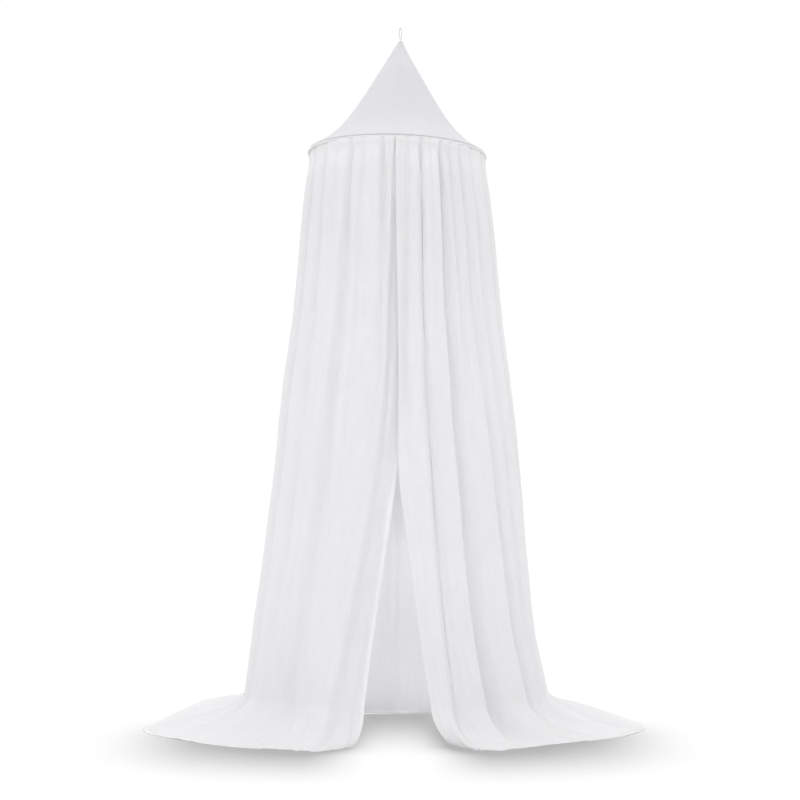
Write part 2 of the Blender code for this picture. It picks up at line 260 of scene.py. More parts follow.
def unseen_valleys():
    """Valleys spread unevenly from the left side round the back to the right side."""
    first, last = LEFT_VALLEYS[-1], RIGHT_VALLEYS[0]
    found = []
    for i in range(UNSEEN_VALLEYS):
        share = (i + 1) / (UNSEEN_VALLEYS + 1)
        drift = sum(size * math.sin(step * i + start) for size, step, start in UNSEEN_DRIFTS)
        top = first.top + share * (last.top - first.top) + drift
        foot = first.foot + share * (last.foot - first.foot) + UNSEEN_FOOT_DRIFT * drift
        vary = 1 + UNSEEN_VARY * math.sin(UNSEEN_VARY_STEP * i)
        depths = [vary * depth for depth in UNSEEN_DEPTHS[i % len(UNSEEN_DEPTHS)]]
        found.append(Valley(top, (top + foot) / 2, foot, *depths, UNSEEN_WIDTH, UNSEEN_WIDTH))
    return found


def edge_bearing(name, height):
    x = section_value(name, height)
    reach = section_value("left" if x < 0 else "right", height)
    return -math.degrees(math.asin(x / reach))


VALLEYS = (*LEFT_VALLEYS, *unseen_valleys(), *RIGHT_VALLEYS)
seen = [True] * (len(LEFT_VALLEYS) + 1) + [False] * (UNSEEN_VALLEYS - 1) + [True] * (len(RIGHT_VALLEYS) + 1)
fold_of, share_of = [], []
for fold, shows in enumerate(seen):
    count = SEEN_COLUMNS if shows else UNSEEN_COLUMNS
    fold_of += [fold] * count
    share_of += [i / count for i in range(count)]
FOLD_OF = np.array([*fold_of, len(seen) - 1])
SHARE_OF = np.array([*share_of, 1.0])
FOLD_LEANS = 2.0 ** np.random.default_rng(LEAN_SEED).uniform(-FOLD_LEAN, FOLD_LEAN, len(seen))
print(len(seen), "folds and", len(FOLD_OF), "columns")

# %% [markdown]
# `wall_points` gives the cloth's section at one height. Valley lines become bearings and inward offsets for
# all the columns, and the offsets are taken off along the way that the oval faces. A valley is narrow at the
# hoop and widens on its way down. Above the slit, the cloth beside the left edge stays behind the right one.

# %% The wall of cloth
HOOP_WIDTH = 0.0072  # a valley's half width at the hoop
WIDENING = 0.9  # under 1 makes the valleys widen soon below the hoop
TROUGH_POWER = 1.8  # 2 is a round trough, and 1 a crease
FIRST_HOOP_WIDTH = 0.0038
FIRST_WIDENING = 1.3  # the first valley stays narrow further down than the others
FIRST_TROUGH_POWER = 3.4  # and it has steep sides and a flat floor
SEAM_DEPTH_SHARE, SEAM_REACH = 0.26, 0.055  # what of the valleys' depth is left at the seam
LEFT_EDGE_TUCK = 0.004  # how far in the left edge lies where the drape is open
RIGHT_EDGE_TUCK = 0.002
LEAST_TUCK = 0.006  # how far in the left cloth lies, at least, under the right edge
TUCK_TURN = 2.0  # degrees beside the right edge in which it comes forward again
SLIT_TOP, SLIT_BLEND = 0.70, 0.10


def fold_lines(height):
    """Bearing and inward offset of each line that the cloth's section runs through, from edge to edge."""
    parted = smooth_step((SLIT_TOP - height) / SLIT_BLEND)
    heights = [WALL_FOOT, WAIST, HOOP_HEIGHT]
    lines = [(edge_bearing("left_edge", height), 0.0)]
    for valley in VALLEYS:
        bearing = smooth_table(height, heights, [valley.foot, valley.waist, valley.top])
        depth = smooth_table(height, heights, [valley.foot_depth, valley.waist_depth, valley.top_depth])
        lines.append((float(bearing), max(0.0, float(depth))))
    lines[0] = (lines[0][0], lines[1][1] + (LEFT_EDGE_TUCK - lines[1][1]) * parted)
    lines.append((360 + edge_bearing("right_edge", height), RIGHT_EDGE_TUCK))
    return np.array(lines)


def section_columns(height):
    """Bearing and inward offset of every column at a height. Each valley is a soft trough."""
    lines = fold_lines(height)
    opened = rising(SEAM_DEPTH_SHARE, (HOOP_HEIGHT - height) / SEAM_REACH)
    here, after = lines[FOLD_OF], lines[FOLD_OF + 1]
    lean = np.clip(SHARE_OF, 0, 1) ** FOLD_LEANS[FOLD_OF]
    columns = here[:, 0] + (after[:, 0] - here[:, 0]) * lean
    metres = math.radians(1) * (section_value("left", height) + section_value("front", height)) / 2
    widen = (1 - height / HOOP_HEIGHT) ** WIDENING
    offsets = np.zeros(len(columns))
    for valley, (bearing, depth) in zip(VALLEYS, lines[1:-1]):
        away = (columns - bearing) * metres
        width = np.where(away > 0, valley.left_width, valley.right_width)
        if valley is VALLEYS[0]:
            width = FIRST_HOOP_WIDTH + (width - FIRST_HOOP_WIDTH) * widen**FIRST_WIDENING
            share = np.exp(-(np.abs(away / width) ** FIRST_TROUGH_POWER))
            trough = depth * share + np.where(away < 0, lines[0, 1] * (1 - share), 0.0)
        else:
            width = HOOP_WIDTH + (width - HOOP_WIDTH) * widen
            trough = depth * np.exp(-(np.abs(away / width) ** TROUGH_POWER))
        offsets += trough * opened
    offsets += (RIGHT_EDGE_TUCK - offsets) * smooth_step((FOLD_OF - len(seen) + 2) * SHARE_OF)
    parted = smooth_step((SLIT_TOP - height) / SLIT_BLEND)
    under = smooth_step((lines[-1, 0] - 360 + TUCK_TURN - columns) / TUCK_TURN) * (FOLD_OF == 0)
    return columns, np.maximum(offsets, LEAST_TUCK * under * (1 - parted))


def wall_points(height):
    """The cloth's section at a height above the floor, and the way that each of its points faces."""
    bearings, offsets = section_columns(height)
    turn = np.radians(bearings)
    side = np.where(np.sin(turn) > 0, section_value("left", height), section_value("right", height))
    depth = np.where(np.cos(turn) > 0, section_value("front", height), section_value("back", height))
    outward = np.stack([-np.sin(turn) * depth, -np.cos(turn) * side, np.zeros(len(turn))], axis=1)
    outward /= np.linalg.norm(outward, axis=1)[:, None]
    points = np.stack([-side * np.sin(turn), -depth * np.cos(turn), np.full(len(turn), height)], axis=1)
    return points - outward * offsets[:, None], outward


print("the foot's section is", round(float(np.ptp(wall_points(WALL_FOOT)[0][:, 0])), 3), "m wide")

# %% [markdown]
# The rows stand close under the hoop, where the gathers are small. At the front and the back the cloth's top
# edge is sewn to the outside of the casing, and at the two ends of the ring it goes under it. The hoop tilts
# a little, so the rows below it tilt too, less and less on the way down.

# %% Hanging rows
SEWN_DROPS = (0, 2, 5, 8, 11, 14, 17, 19, 20, 21, 23, 26, 30, 35, 41, 48, 56, 65, 75, 86, 98)  # mm
WALL_ROWS = 84
HEADING_RISE = 0.0052
HEADING_OUT = 0.0058
HEADING_REACH = 0.030
HEADING_ENDS = (0.50, 0.85)  # the cosines of the bearings between which it goes under the casing
HEADING_OUT_AT_ENDS = 0.45  # as a share
TILT_FADE = 3  # the tilt is gone one third of the way down
top = HOOP_HEIGHT - CASING_RADIUS - 2 * SEAT_GAP
sewn = [drop / 1000 for drop in SEWN_DROPS]
hanging = np.linspace(sewn[-1], top - WALL_FOOT, WALL_ROWS)[1:]
grid_rows = []
for drop in (*sewn, *hanging):
    points, _ = wall_points(top - drop)
    share = drop / (top - WALL_FOOT)
    points[:, 2] -= math.tan(HOOP_TILT) * points[:, 0] * smooth_step(1 - share * TILT_FADE)
    facing_front = np.abs(points[:, 1]) / np.linalg.norm(points[:, :2], axis=1)
    near_casing = 1 - smooth_step(drop / HEADING_REACH)
    outside = (facing_front - HEADING_ENDS[0]) / (HEADING_ENDS[1] - HEADING_ENDS[0])
    outside = rising(HEADING_OUT_AT_ENDS, outside)
    points[:, 2] += HEADING_RISE * near_casing
    points[:, :2] *= (1 + HEADING_OUT / HOOP_RADIUS * near_casing * outside)[:, None]
    grid_rows.append(points)
WALL_END = len(grid_rows)
print(WALL_END, "rows hang")

# %% [markdown]
# Below its foot the cloth turns over a soft bend and runs out to the hem. A curve with three control points
# does that for every column: the foot of the wall, a corner on the floor and the hem. Ridges, which go on
# from the wall's folds, low waves and heaps are added to it.

# %% Rows on the floor
FLOOR_ROWS = 38
FLOOR_BEND = 0.012
DRAPE_MIDDLE = 0.001  # how high the middle of the cloth lies above the floor
POOL_RIDGE = 0.019
RIDGE_VALLEY = 0.012
RIDGE_PEAK = 6.75  # share * (1 - share) ** 2 reaches one part in 6.75
FULL_RIDGE_REACH = 0.10
HEAP_SKEW = 2.3  # over 1 sets a heap's top nearer to the hem than to the wall
POOL_WAVE = 0.007  # half the height of the soft folds that run out over the floor
WAVE_GRAIN, WAVE_SEED = (7.0, 400.0), 34  # degrees, from fold to fold and once round
WAVE_REACH = 0.28
foot, outward = wall_points(WALL_FOOT)
bearings, offsets = section_columns(WALL_FOOT)
hem_at = [h.bearing for h in HEM]
hem_x = smooth_table(bearings, hem_at, [h.x for h in HEM])
hem_y = smooth_table(bearings, hem_at, [h.y for h in HEM])
hem = np.stack([hem_x, hem_y, np.full(len(bearings), DRAPE_MIDDLE)], axis=1)
heap = smooth_table(bearings, hem_at, [h.heap for h in HEM])
corner = foot + outward * FLOOR_BEND
corner[:, 2] = DRAPE_MIDDLE
reach = np.linalg.norm((hem - corner)[:, :2], axis=1)
pool_ridge = POOL_RIDGE * np.clip(1 - offsets / RIDGE_VALLEY, 0, 1) * smooth_step(reach / FULL_RIDGE_REACH)
wave = 1 + uneven(bearings, bearings, *WAVE_GRAIN, WAVE_SEED)
wave = POOL_WAVE * wave * smooth_step(reach / WAVE_REACH)
for share in np.linspace(0, 1, FLOOR_ROWS + 1)[1:]:
    points = (1 - share) ** 2 * foot + 2 * share * (1 - share) * corner + share**2 * hem
    points[:, 2] += pool_ridge * RIDGE_PEAK * share * (1 - share) ** 2
    points[:, 2] += heap * math.sin(math.pi * share**HEAP_SKEW)
    points[:, 2] += wave * math.sin(math.pi * share)
    grid_rows.append(points)
cloth = np.array(grid_rows)
print(cloth.shape[0], "rows of", cloth.shape[1], "columns")

# %% [markdown]
# Every point also needs its place on the flat cloth, in metres, for the weave and the crinkles. The mean
# distance from column to column and from row to row gives it. Then the columns beside the front edges and
# the rows beside the hem are moved to where a hem 12 mm wide begins and ends, so that the hems get a crisp
# step. The columns that are spread anew have to cover more than the hem's width, or they would fold back.

# %% Places on the flat cloth
HEM_WIDTH = 0.0120
EDGE_ROUND = 0.0014  # how far from the edge the fold of a hem is rounded
HEM_STEP = 0.0008  # in which its two layers become one
HEM_STOPS = (0.0, EDGE_ROUND, HEM_WIDTH - HEM_STEP, HEM_WIDTH)  # from the edge, where columns stand
HEM_COLUMNS = 11  # columns that are spread anew beside a front hem
HEM_ROWS = 20  # rows beside the lower hem, which are dense at the back


def steps(points, axis):
    """The distances between neighbouring points of a grid."""
    return np.linalg.norm(np.diff(points[:, :, :3], axis=axis), axis=2)


def running_sum(values):
    return np.concatenate([[0.0], np.cumsum(values)])


def respaced(line, count):
    """A line of points whose first few are moved along it to where a hem's stops are."""
    block = line[: count + 1]
    along = running_sum(np.linalg.norm(np.diff(block[:, :3], axis=0), axis=1))
    rest = np.linspace(HEM_WIDTH, along[-1], count - len(HEM_STOPS) + 2)[1:]
    wanted = [*HEM_STOPS, *rest]
    line = line.copy()
    for channel in range(line.shape[1]):
        line[: count + 1, channel] = np.interp(wanted, along, block[:, channel])
    return line


across = running_sum(steps(cloth, 1).mean(axis=0))
down = running_sum(steps(cloth, 0).mean(axis=1))
across_grid, down_grid = np.broadcast_arrays(across[None, :], down[:, None])
cloth = np.concatenate([cloth, across_grid[:, :, None], down_grid[:, :, None]], axis=2)
for row in range(len(cloth)):
    cloth[row] = respaced(cloth[row], HEM_COLUMNS)
    cloth[row] = respaced(cloth[row, ::-1], HEM_COLUMNS)[::-1]
for column in range(cloth.shape[1]):
    cloth[:, column] = respaced(cloth[::-1, column], HEM_ROWS)[::-1]
print("mean width", round(float(across[-1]), 3), "m, mean length", round(float(down[-1]), 3), "m")

# %% [markdown]
# ## Gathers and crinkles
#
# Under the hoop the cloth is drawn up on a thread 20 mm below the casing, which pinches it in and leaves
# small gathers above and below. Further down the washed cotton keeps long narrow crinkles. Both are moved
# along the way that the cloth faces, which is worked out from its neighbours.

# %% Gathers and crinkles
GATHERS_IN_A_FOLD, PHASE_SEED = 3, 31
GATHER_DEPTH = 0.0011
GATHER_VARY, GATHER_GRAIN, GATHER_SEED = 0.25, (0.05, 0.5), 32
GATHER_REACH = 0.085
GATHER_AT_SEAM, AT_SEAM_REACH = 0.35, 0.03  # what of it is left at the seam, and where it is full
PINCH_DROP = 0.020
PINCH_DEPTH = 0.0009
PINCH_WIDTH = 0.0045
CRINKLES = (
    # depth, grain across and grain along, in metres, and seed
    (0.0011, 0.011, 0.11, 21),
    (0.0016, 0.022, 0.20, 22),
    (0.0022, 0.048, 0.42, 23),
    (0.0035, 0.13, 0.55, 24),
)
CRINKLE_REACH = 0.10  # below the pinch, where the crinkles are full
HEM_CRINKLE_SHARE, HEM_STIFF_REACH = 0.5, 0.03
NEARLY_NOUGHT = 1e-9


def facing(points, rows=None):
    """The unit vectors that a grid of points faces, away from the middle in its first rows."""
    way = np.cross(np.gradient(points, axis=0), np.gradient(points, axis=1))
    way = way / np.maximum(np.linalg.norm(way, axis=2), NEARLY_NOUGHT)[:, :, None]
    return -way if np.mean(way[:rows, :, 0] * points[:rows, :, 0]) < 0 else way


place, on_cloth = cloth[:, :, :3], (cloth[:, :, 3], cloth[:, :, 4])
drop = on_cloth[1]
below_pinch = drop - PINCH_DROP
phases = np.random.default_rng(PHASE_SEED).uniform(0, 2 * math.pi, len(seen))
gather_wave = np.sin(2 * math.pi * GATHERS_IN_A_FOLD * SHARE_OF + phases[FOLD_OF])[None, :]
gather_size = 1 - GATHER_VARY + GATHER_VARY * uneven(*on_cloth, *GATHER_GRAIN, GATHER_SEED)
opening = rising(GATHER_AT_SEAM, drop / AT_SEAM_REACH) * (1 - smooth_step(below_pinch / GATHER_REACH))
pinch = PINCH_DEPTH * np.exp(-((below_pinch / PINCH_WIDTH) ** 2))
move = gather_wave * GATHER_DEPTH * gather_size * opening - pinch
edge_distance = np.minimum(on_cloth[0] - on_cloth[0].min(), on_cloth[0].max() - on_cloth[0])
free = smooth_step(below_pinch / CRINKLE_REACH) * rising(HEM_CRINKLE_SHARE, edge_distance / HEM_STIFF_REACH)
for depth, wide, long, seed in CRINKLES:
    move = move + depth * uneven(*on_cloth, wide, long, seed) * free
place = place + facing(place, WALL_END) * move[:, :, None]
print("gathers and crinkles move the cloth by up to", round(float(np.abs(move).max() * 1000), 1), "mm")

# %% [markdown]
# ## The cloth gets its two faces
#
# A real sheet has a front and a back. We lay one grid of points half a thickness outside the middle and one
# half a thickness inside it, and join their rims. Doing this by hand, and not with Solidify, lets the
# thickness change within one millimetre at a hem. The faces have to look outwards, which the sign of the
# volume tells.

# %% Sheet mesh helpers
def add_uv(mesh, flat):
    """A UV map named cloth, in metres, from a pair of values for each vertex."""
    corners = np.empty(len(mesh.loops), dtype=np.int32)
    mesh.loops.foreach_get("vertex_index", corners)
    mesh.uv_layers.new(name="cloth").data.foreach_set("uv", flat[corners].ravel())


def signed_volume(piece):
    """Over nought where the faces point outwards."""
    mesh = piece.data
    mesh.calc_loop_triangles()
    at = np.array([vertex.co for vertex in mesh.vertices])
    corners = np.array([triangle.vertices for triangle in mesh.loop_triangles])
    a, b, c = at[corners[:, 0]], at[corners[:, 1]], at[corners[:, 2]]
    return float(np.sum(a * np.cross(b, c)) / 6)


def finished(name, mesh):
    """The mesh as a smooth piece in the scene whose faces point outwards."""
    mesh.shade_smooth()
    mesh.validate()
    piece = in_scene(name, mesh)
    if signed_volume(piece) < 0:
        mesh.flip_normals()
    print(name, len(mesh.loop_triangles), "triangles,", round(signed_volume(piece) * 1e6), "cm3")
    return piece


def closed_sheet(name, middle, way, thickness, uv, extra, wraps=False):
    """A sheet with two faces and a closed rim, a UV map in metres and an attribute named hem, which marks
    where the colour is made lighter.
    """
    rows, columns = middle.shape[:2]
    faces = []
    half = (thickness / 2)[:, :, None]
    sides = [middle + way * half, middle - way * half]
    last = columns if wraps else columns - 1

    def corner_at(side, r, c):
        return side * rows * columns + r * columns + c % columns

    for r in range(rows - 1):
        for c in range(last):
            quad = [(r, c), (r, c + 1), (r + 1, c + 1), (r + 1, c)]
            faces.append([corner_at(0, *at) for at in quad])
            faces.append([corner_at(1, *at) for at in reversed(quad)])
    rim = [((0, c + 1), (0, c)) for c in range(last)]
    rim += [((rows - 1, c), (rows - 1, c + 1)) for c in range(last)]
    if not wraps:
        rim += [((r, 0), (r + 1, 0)) for r in range(rows - 1)]
        rim += [((r + 1, columns - 1), (r, columns - 1)) for r in range(rows - 1)]
    for a, b in rim:
        faces.append([corner_at(0, *a), corner_at(0, *b), corner_at(1, *b), corner_at(1, *a)])
    mesh = bpy.data.meshes.new(name)
    mesh.from_pydata(np.concatenate([side.reshape(-1, 3) for side in sides]).tolist(), [], faces)
    add_uv(mesh, np.tile(np.stack(uv, axis=2).reshape(-1, 2), (2, 1)))
    mesh.attributes.new("hem", "FLOAT", "POINT").data.foreach_set("value", np.tile(extra.reshape(-1), 2))
    return finished(name, mesh)


print("helpers are ready")

# %% [markdown]
# The drape is the first sheet. At a hem the cloth is folded over, so it is thicker there, and thinner again at
# the fold itself. Nothing may dip under the floor. The sheet also carries a mark where its colour is made
# lighter: the hems' doubled cloth is a little lighter, the hems of the left half get a painted highlight on
# top of that, and the gathered heading under the casing gets painted light against the shade there.

# %% Drape
CLOTH_THICKNESS = 0.0009
HEM_THICKNESS = 0.0019
CLEAR_OF_FLOOR = 0.0002
STEP_START, STEP_LENGTH = 0.0007, 0.0006  # inside the hem's width, where two layers become one
EDGE_THINNER = 0.6  # as a share
RIGHT_HEM_PAINTED_SHARE = 0.2  # the right half keeps this share of the lightening; the left half's full share includes a painted highlight
# painted light: the gathered heading is made lighter, against the shade that falls under the casing
HEADING_PAINTED_LIGHT = 0.9


def grid_distance_to_edges(points):
    """How far each point is from the two front edges and from the hem, along the cloth."""
    sideways = np.cumsum(np.pad(steps(points, 1), ((0, 0), (1, 0))), axis=1)
    upwards = np.cumsum(np.pad(steps(points, 0), ((1, 0), (0, 0))), axis=0)
    front = np.minimum(sideways, sideways[:, -1:] - sideways)
    return np.minimum(front, upwards[-1:, :] - upwards)


def area_of(points):
    return float(np.sum(steps(points, 1)[:-1] * steps(points, 0)[:, :-1]))


normal = facing(place, WALL_END)
to_edge = grid_distance_to_edges(cloth[:, :, :3])
in_hem = 1 - smooth_step((to_edge - HEM_WIDTH + STEP_START) / STEP_LENGTH)
rounded = 1 - EDGE_THINNER * (1 - smooth_step(to_edge / EDGE_ROUND)) * (to_edge < EDGE_ROUND)
thickness = (CLOTH_THICKNESS + (HEM_THICKNESS - CLOTH_THICKNESS) * in_hem) * rounded
place[:, :, 2] = np.maximum(place[:, :, 2], CLEAR_OF_FLOOR + thickness / 2)
world_place = place + np.array([AXIS_X, 0.0, FLOOR])
# The colour is made lighter on the hems, for their doubled cloth and as a painted highlight on the left half,
# and on the heading as painted light.
lighter_hems_and_painted_light = in_hem * np.where(on_cloth[0] < np.median(on_cloth[0]), 1.0, RIGHT_HEM_PAINTED_SHARE)
lighter_hems_and_painted_light = np.maximum(lighter_hems_and_painted_light, HEADING_PAINTED_LIGHT * (1 - smooth_step(below_pinch / GATHER_REACH)))
drape = closed_sheet("draped_cotton", world_place, normal, thickness, on_cloth, lighter_hems_and_painted_light)
print("the drape's cloth measures", round(area_of(place), 2), "m2")

# %% [markdown]
# ## The roof
#
# The roof is a cone of plain cotton, pulled tight between the loop and the hoop, so its side bows inwards.
# It is cut as one piece and closed by one flat seam that shows on the right. We turn a profile round the
# hoop's axis, raise the seam and add the slight unevenness of a stretched cloth. It tilts with the hoop.

# %% Roof profile
ROOF_TIP_RADIUS = 0.0054
ROOF_FLARE, ROOF_FLARE_POWER = 0.24, 7
ROOF_COLLAR = 0.004
ROOF_ROWS, ROOF_ROW_POWER = 56, 1.5  # over 1 sets the rows closer together at the foot
ROOF_ROUND_STEPS = 300
hoop_centre = np.array([AXIS_X, 0.0, FLOOR + HOOP_HEIGHT])


def tilted(points):
    """Points round the hoop's axis, brought to where the tilted hoop hangs."""
    x, y, z = points[..., 0], points[..., 1], points[..., 2]
    cosine, sine = math.cos(HOOP_TILT), math.sin(HOOP_TILT)
    return np.stack([x * cosine + z * sine, y, z * cosine - x * sine], axis=-1) + hoop_centre


def ring_points(turn, radius, height):
    """Points at bearings in radians, at a distance from the axis and a height over the hoop."""
    return np.stack([-np.sin(turn) * radius, -np.cos(turn) * radius, height], axis=-1)


seat = CASING_RADIUS + SEAT_GAP
row_drop = 1 - (1 - np.linspace(0, 1, ROOF_ROWS)) ** ROOF_ROW_POWER
row_reach = (1 - ROOF_FLARE) * row_drop + ROOF_FLARE * row_drop**ROOF_FLARE_POWER
row_radius = ROOF_TIP_RADIUS + (HOOP_RADIUS - ROOF_TIP_RADIUS) * row_reach
row_height = ROOF_HEIGHT + (seat + ROOF_COLLAR - ROOF_HEIGHT) * row_drop
row_radius = np.append(row_radius, [HOOP_RADIUS, HOOP_RADIUS])
row_height = np.append(row_height, [seat + ROOF_COLLAR / 2, seat])
slant = running_sum(np.hypot(np.diff(row_radius), np.diff(row_height)))
print("the roof's slant is", round(float(slant[-1]), 3), "m")

# %% [markdown]
# The roof's relief is a sum of small forms: the seam's raised band and the dent that its thread pulls, the
# slacks of the stretched cloth, and small pleats at the tip. Where the cloth is held, at the tip and at the
# hoop, the slacks fade out, and they also do where the table of random numbers ends.

# %% Roof
ROOF_THICKNESS = 0.0010
ROOF_SEAM_BEARING = 300.0
SEAM_HALF_WIDTH, SEAM_SIDE = 0.0045, 0.0012
SEAM_RISE = 0.0008
SEAM_PULL, SEAM_PULL_WIDTH = 0.0022, 0.022
ROOF_SLACKS = ((0.0010, 0.060, 0.16, 41), (0.0005, 0.020, 0.12, 42))
HELD_AT_TIP, HELD_AT_HOOP = 0.02, 0.03
JOIN_TURN = 0.5  # radians in which the slacks fade at the table's ends
TIP_PLEATS, TIP_PLEAT_START = 9, 0.6
TIP_PLEAT_DEPTH = 0.0009
TIP_PLEAT_REACH, TIP_PLEAT_RISE = 0.035, 0.006
SLACK_RADIUS = 0.5 * HOOP_RADIUS  # at which a turn is as long as the cloth is wide, for the slacks
MAP_RADIUS = 0.6 * HOOP_RADIUS  # and for the weave
turn = np.linspace(0, 2 * math.pi, ROOF_ROUND_STEPS + 1)
turn_grid, slant_grid = np.broadcast_arrays(turn[None, :], slant[:, None])
radius_grid = np.repeat(row_radius[:, None], len(turn), axis=1)
height_grid = np.repeat(row_height[:, None], len(turn), axis=1)
from_seam = np.angle(np.exp(1j * (turn_grid - math.radians(ROOF_SEAM_BEARING)))) * radius_grid
held = smooth_step(slant_grid / HELD_AT_TIP) * smooth_step((slant[-1] - slant_grid) / HELD_AT_HOOP)
bulge = SEAM_RISE * (1 - smooth_step((np.abs(from_seam) - SEAM_HALF_WIDTH) / SEAM_SIDE))
bulge = bulge - SEAM_PULL * np.exp(-((from_seam / SEAM_PULL_WIDTH) ** 2)) * held
wrap = smooth_step(np.minimum(turn_grid, 2 * math.pi - turn_grid) / JOIN_TURN)
for depth, wide, long, seed in ROOF_SLACKS:
    bulge = bulge + depth * uneven(turn_grid * SLACK_RADIUS, slant_grid, wide, long, seed) * held * wrap
pleats = np.sin(TIP_PLEATS * turn_grid + TIP_PLEAT_START) * np.exp(-slant_grid / TIP_PLEAT_REACH)
bulge = bulge + TIP_PLEAT_DEPTH * pleats * smooth_step(slant_grid / TIP_PLEAT_RISE)
roof_points = ring_points(turn_grid, radius_grid, height_grid)
roof_way = facing(roof_points)
roof_points = roof_points + roof_way * (bulge - ROOF_THICKNESS / 2)[:, :, None]
roof_rounds, roof_way = roof_points[:, :-1], roof_way[:, :-1]
roof = closed_sheet(
    "roof_cone",
    tilted(roof_rounds),
    tilted(roof_way) - hoop_centre,
    np.full(roof_rounds.shape[:2], ROOF_THICKNESS),
    (turn_grid[:, :-1] * MAP_RADIUS, slant_grid[:, :-1]),
    (np.abs(from_seam[:, :-1]) < SEAM_HALF_WIDTH).astype(float),
    wraps=True,
)
print("the roof's cloth measures", round(area_of(roof_points), 3), "m2")

# %% [markdown]
# ## The casing
#
# The hoop runs in a narrow tube of the same cotton. The tube is longer than the hoop, so it is bunched up
# along the rod, most of all at the right end and beside the front edges, where the photograph shows small
# dark dashes. A tube is a circle of points carried round a ring, and its radius follows small pleats. The
# helper that joins the circles serves the loop's tape too.

# %% Casing
CASING_LONG_STEPS = 1300
CASING_ROUND_STEPS = 12
CASING_FIT = 0.0001  # how much slimmer than the solid the tube is between its pleats
CASING_PLEAT = 0.0058  # metres from pleat to pleat
PLEAT_DEPTH = 0.00045
PLEAT_SHARE, FINE_PLEAT_SHARE = 0.6, 0.7
PLEAT_DRIFT, DRIFT_GRAIN = 2.4, (0.02, 2.0, 51)  # radians; grain along and round, and seed
FINE_PLEAT_GRAIN = (0.009, 1.4, 52)
PLEAT_JOIN = 0.04  # radians in which the pleats fade where the ring closes
LEAST_BUNCHED = 0.55
BUNCHED = ((276.0, 16.0, 2.2), (352.0, 9.0, 2.4), (75.0, 10.0, 0.8))  # bearing, half width, how much more


def swept(name, points, uv, closed):
    """A tube through rings of points: a closed ring, or one with a cap at each end."""
    rings, count = points.shape[:2]
    faces = []
    for i in range(rings if closed else rings - 1):
        after = (i + 1) % rings
        for j in range(count):
            k = (j + 1) % count
            faces.append((i * count + j, i * count + k, after * count + k, after * count + j))
    if not closed:
        faces.append(tuple(reversed(range(count))))
        faces.append(tuple(range((rings - 1) * count, rings * count)))
    mesh = bpy.data.meshes.new(name)
    mesh.from_pydata(points.reshape(-1, 3).tolist(), [], faces)
    add_uv(mesh, uv.reshape(-1, 2))
    return finished(name, mesh)


ring = np.linspace(0, 2 * math.pi, CASING_LONG_STEPS, endpoint=False)
section = np.linspace(0, 2 * math.pi, CASING_ROUND_STEPS, endpoint=False)
ring_grid, section_grid = np.meshgrid(ring, section, indexing="ij")
length_grid = ring_grid * HOOP_RADIUS
bunched = np.full_like(ring_grid, LEAST_BUNCHED)
for bearing, half_width, more in BUNCHED:
    away = np.degrees(np.abs(np.angle(np.exp(1j * (ring_grid - math.radians(bearing))))))
    bunched += more * np.exp(-((away / half_width) ** 2))
pleat_phase = 2 * math.pi * length_grid / CASING_PLEAT
pleat_phase = pleat_phase + PLEAT_DRIFT * uneven(length_grid, section_grid, *DRIFT_GRAIN)
pleat_wave = PLEAT_SHARE * np.sin(pleat_phase)
pleat_wave = pleat_wave + FINE_PLEAT_SHARE * uneven(length_grid, section_grid, *FINE_PLEAT_GRAIN)
closing = smooth_step(np.minimum(ring_grid, 2 * math.pi - ring_grid) / PLEAT_JOIN)
tube = CASING_RADIUS - CASING_FIT + PLEAT_DEPTH * bunched * pleat_wave * closing
out = HOOP_RADIUS + tube * np.cos(section_grid)
casing_points = tilted(ring_points(ring_grid, out, tube * np.sin(section_grid)))
casing_uv = np.stack([section_grid * CASING_RADIUS, length_grid], axis=2)
casing = swept("gathered_casing", casing_points, casing_uv, closed=True)

# %% [markdown]
# ## The hanging loop
#
# A narrow cotton tape is folded into an eye, and both of its ends are sewn into the cone's tip. Seen from
# the front we look at the tape's edge. The tape's section is carried along the eye's line, from one end to
# the other. The eye's line is told for one side, from its end up, and the other side mirrors it.

# %% Hanging loop
LOOP_EYE_WIDTH = 0.0040  # the tape's own stiffness keeps it open, and a hook spreads it
LOOP_EYE_HEIGHT = 0.031
LOOP_TAPE, LOOP_TAPE_WIDTH = 0.0022, 0.0056
LOOP_TAIL_LENGTH = 0.016
TAIL_GAP = 0.0001
TAIL_TOP = 0.002  # below the eye's foot, where the two sides begin to part
EYE_SIDE = ((0.62, 0.004), (0.95, 0.009))  # share of the eye's half width, and height over its foot
EYE_MIDDLE = 1.02  # half way up, where the eye is widest
ARCH_POINTS = 9
LOOP_POINTS = 110
BACK_OF_TAPE = 0.01  # where the tape's other face lies on the UV map
TAPE_SECTION = np.array((
    # across the tape, through it
    (-1.0, 0.0), (-0.96, 0.62), (-0.80, 0.92), (-0.40, 0.86), (0.0, 0.90), (0.40, 0.86), (0.80, 0.92),
    (0.96, 0.62), (1.0, 0.0), (0.96, -0.62), (0.80, -0.92), (0.40, -0.86), (0.0, -0.90), (-0.40, -0.86),
    (-0.80, -0.92), (-0.96, -0.62),
))
half_eye = (LOOP_EYE_WIDTH + LOOP_TAPE) / 2
half_tail = LOOP_TAPE / 2 + TAIL_GAP
eye_top = -LOOP_TAPE / 2 - half_eye
eye_foot = -LOOP_EYE_HEIGHT - LOOP_TAPE
side_line = [
    (half_tail, eye_foot - LOOP_TAIL_LENGTH),
    (half_tail, eye_foot - LOOP_TAIL_LENGTH / 2),
    (half_tail, eye_foot - TAIL_TOP),
    *[(half_eye * share, eye_foot + rise) for share, rise in EYE_SIDE],
    (half_eye * EYE_MIDDLE, (eye_foot + eye_top) / 2),
    (half_eye, eye_top),
]
arch = np.linspace(0, math.pi, ARCH_POINTS)[1:-1]
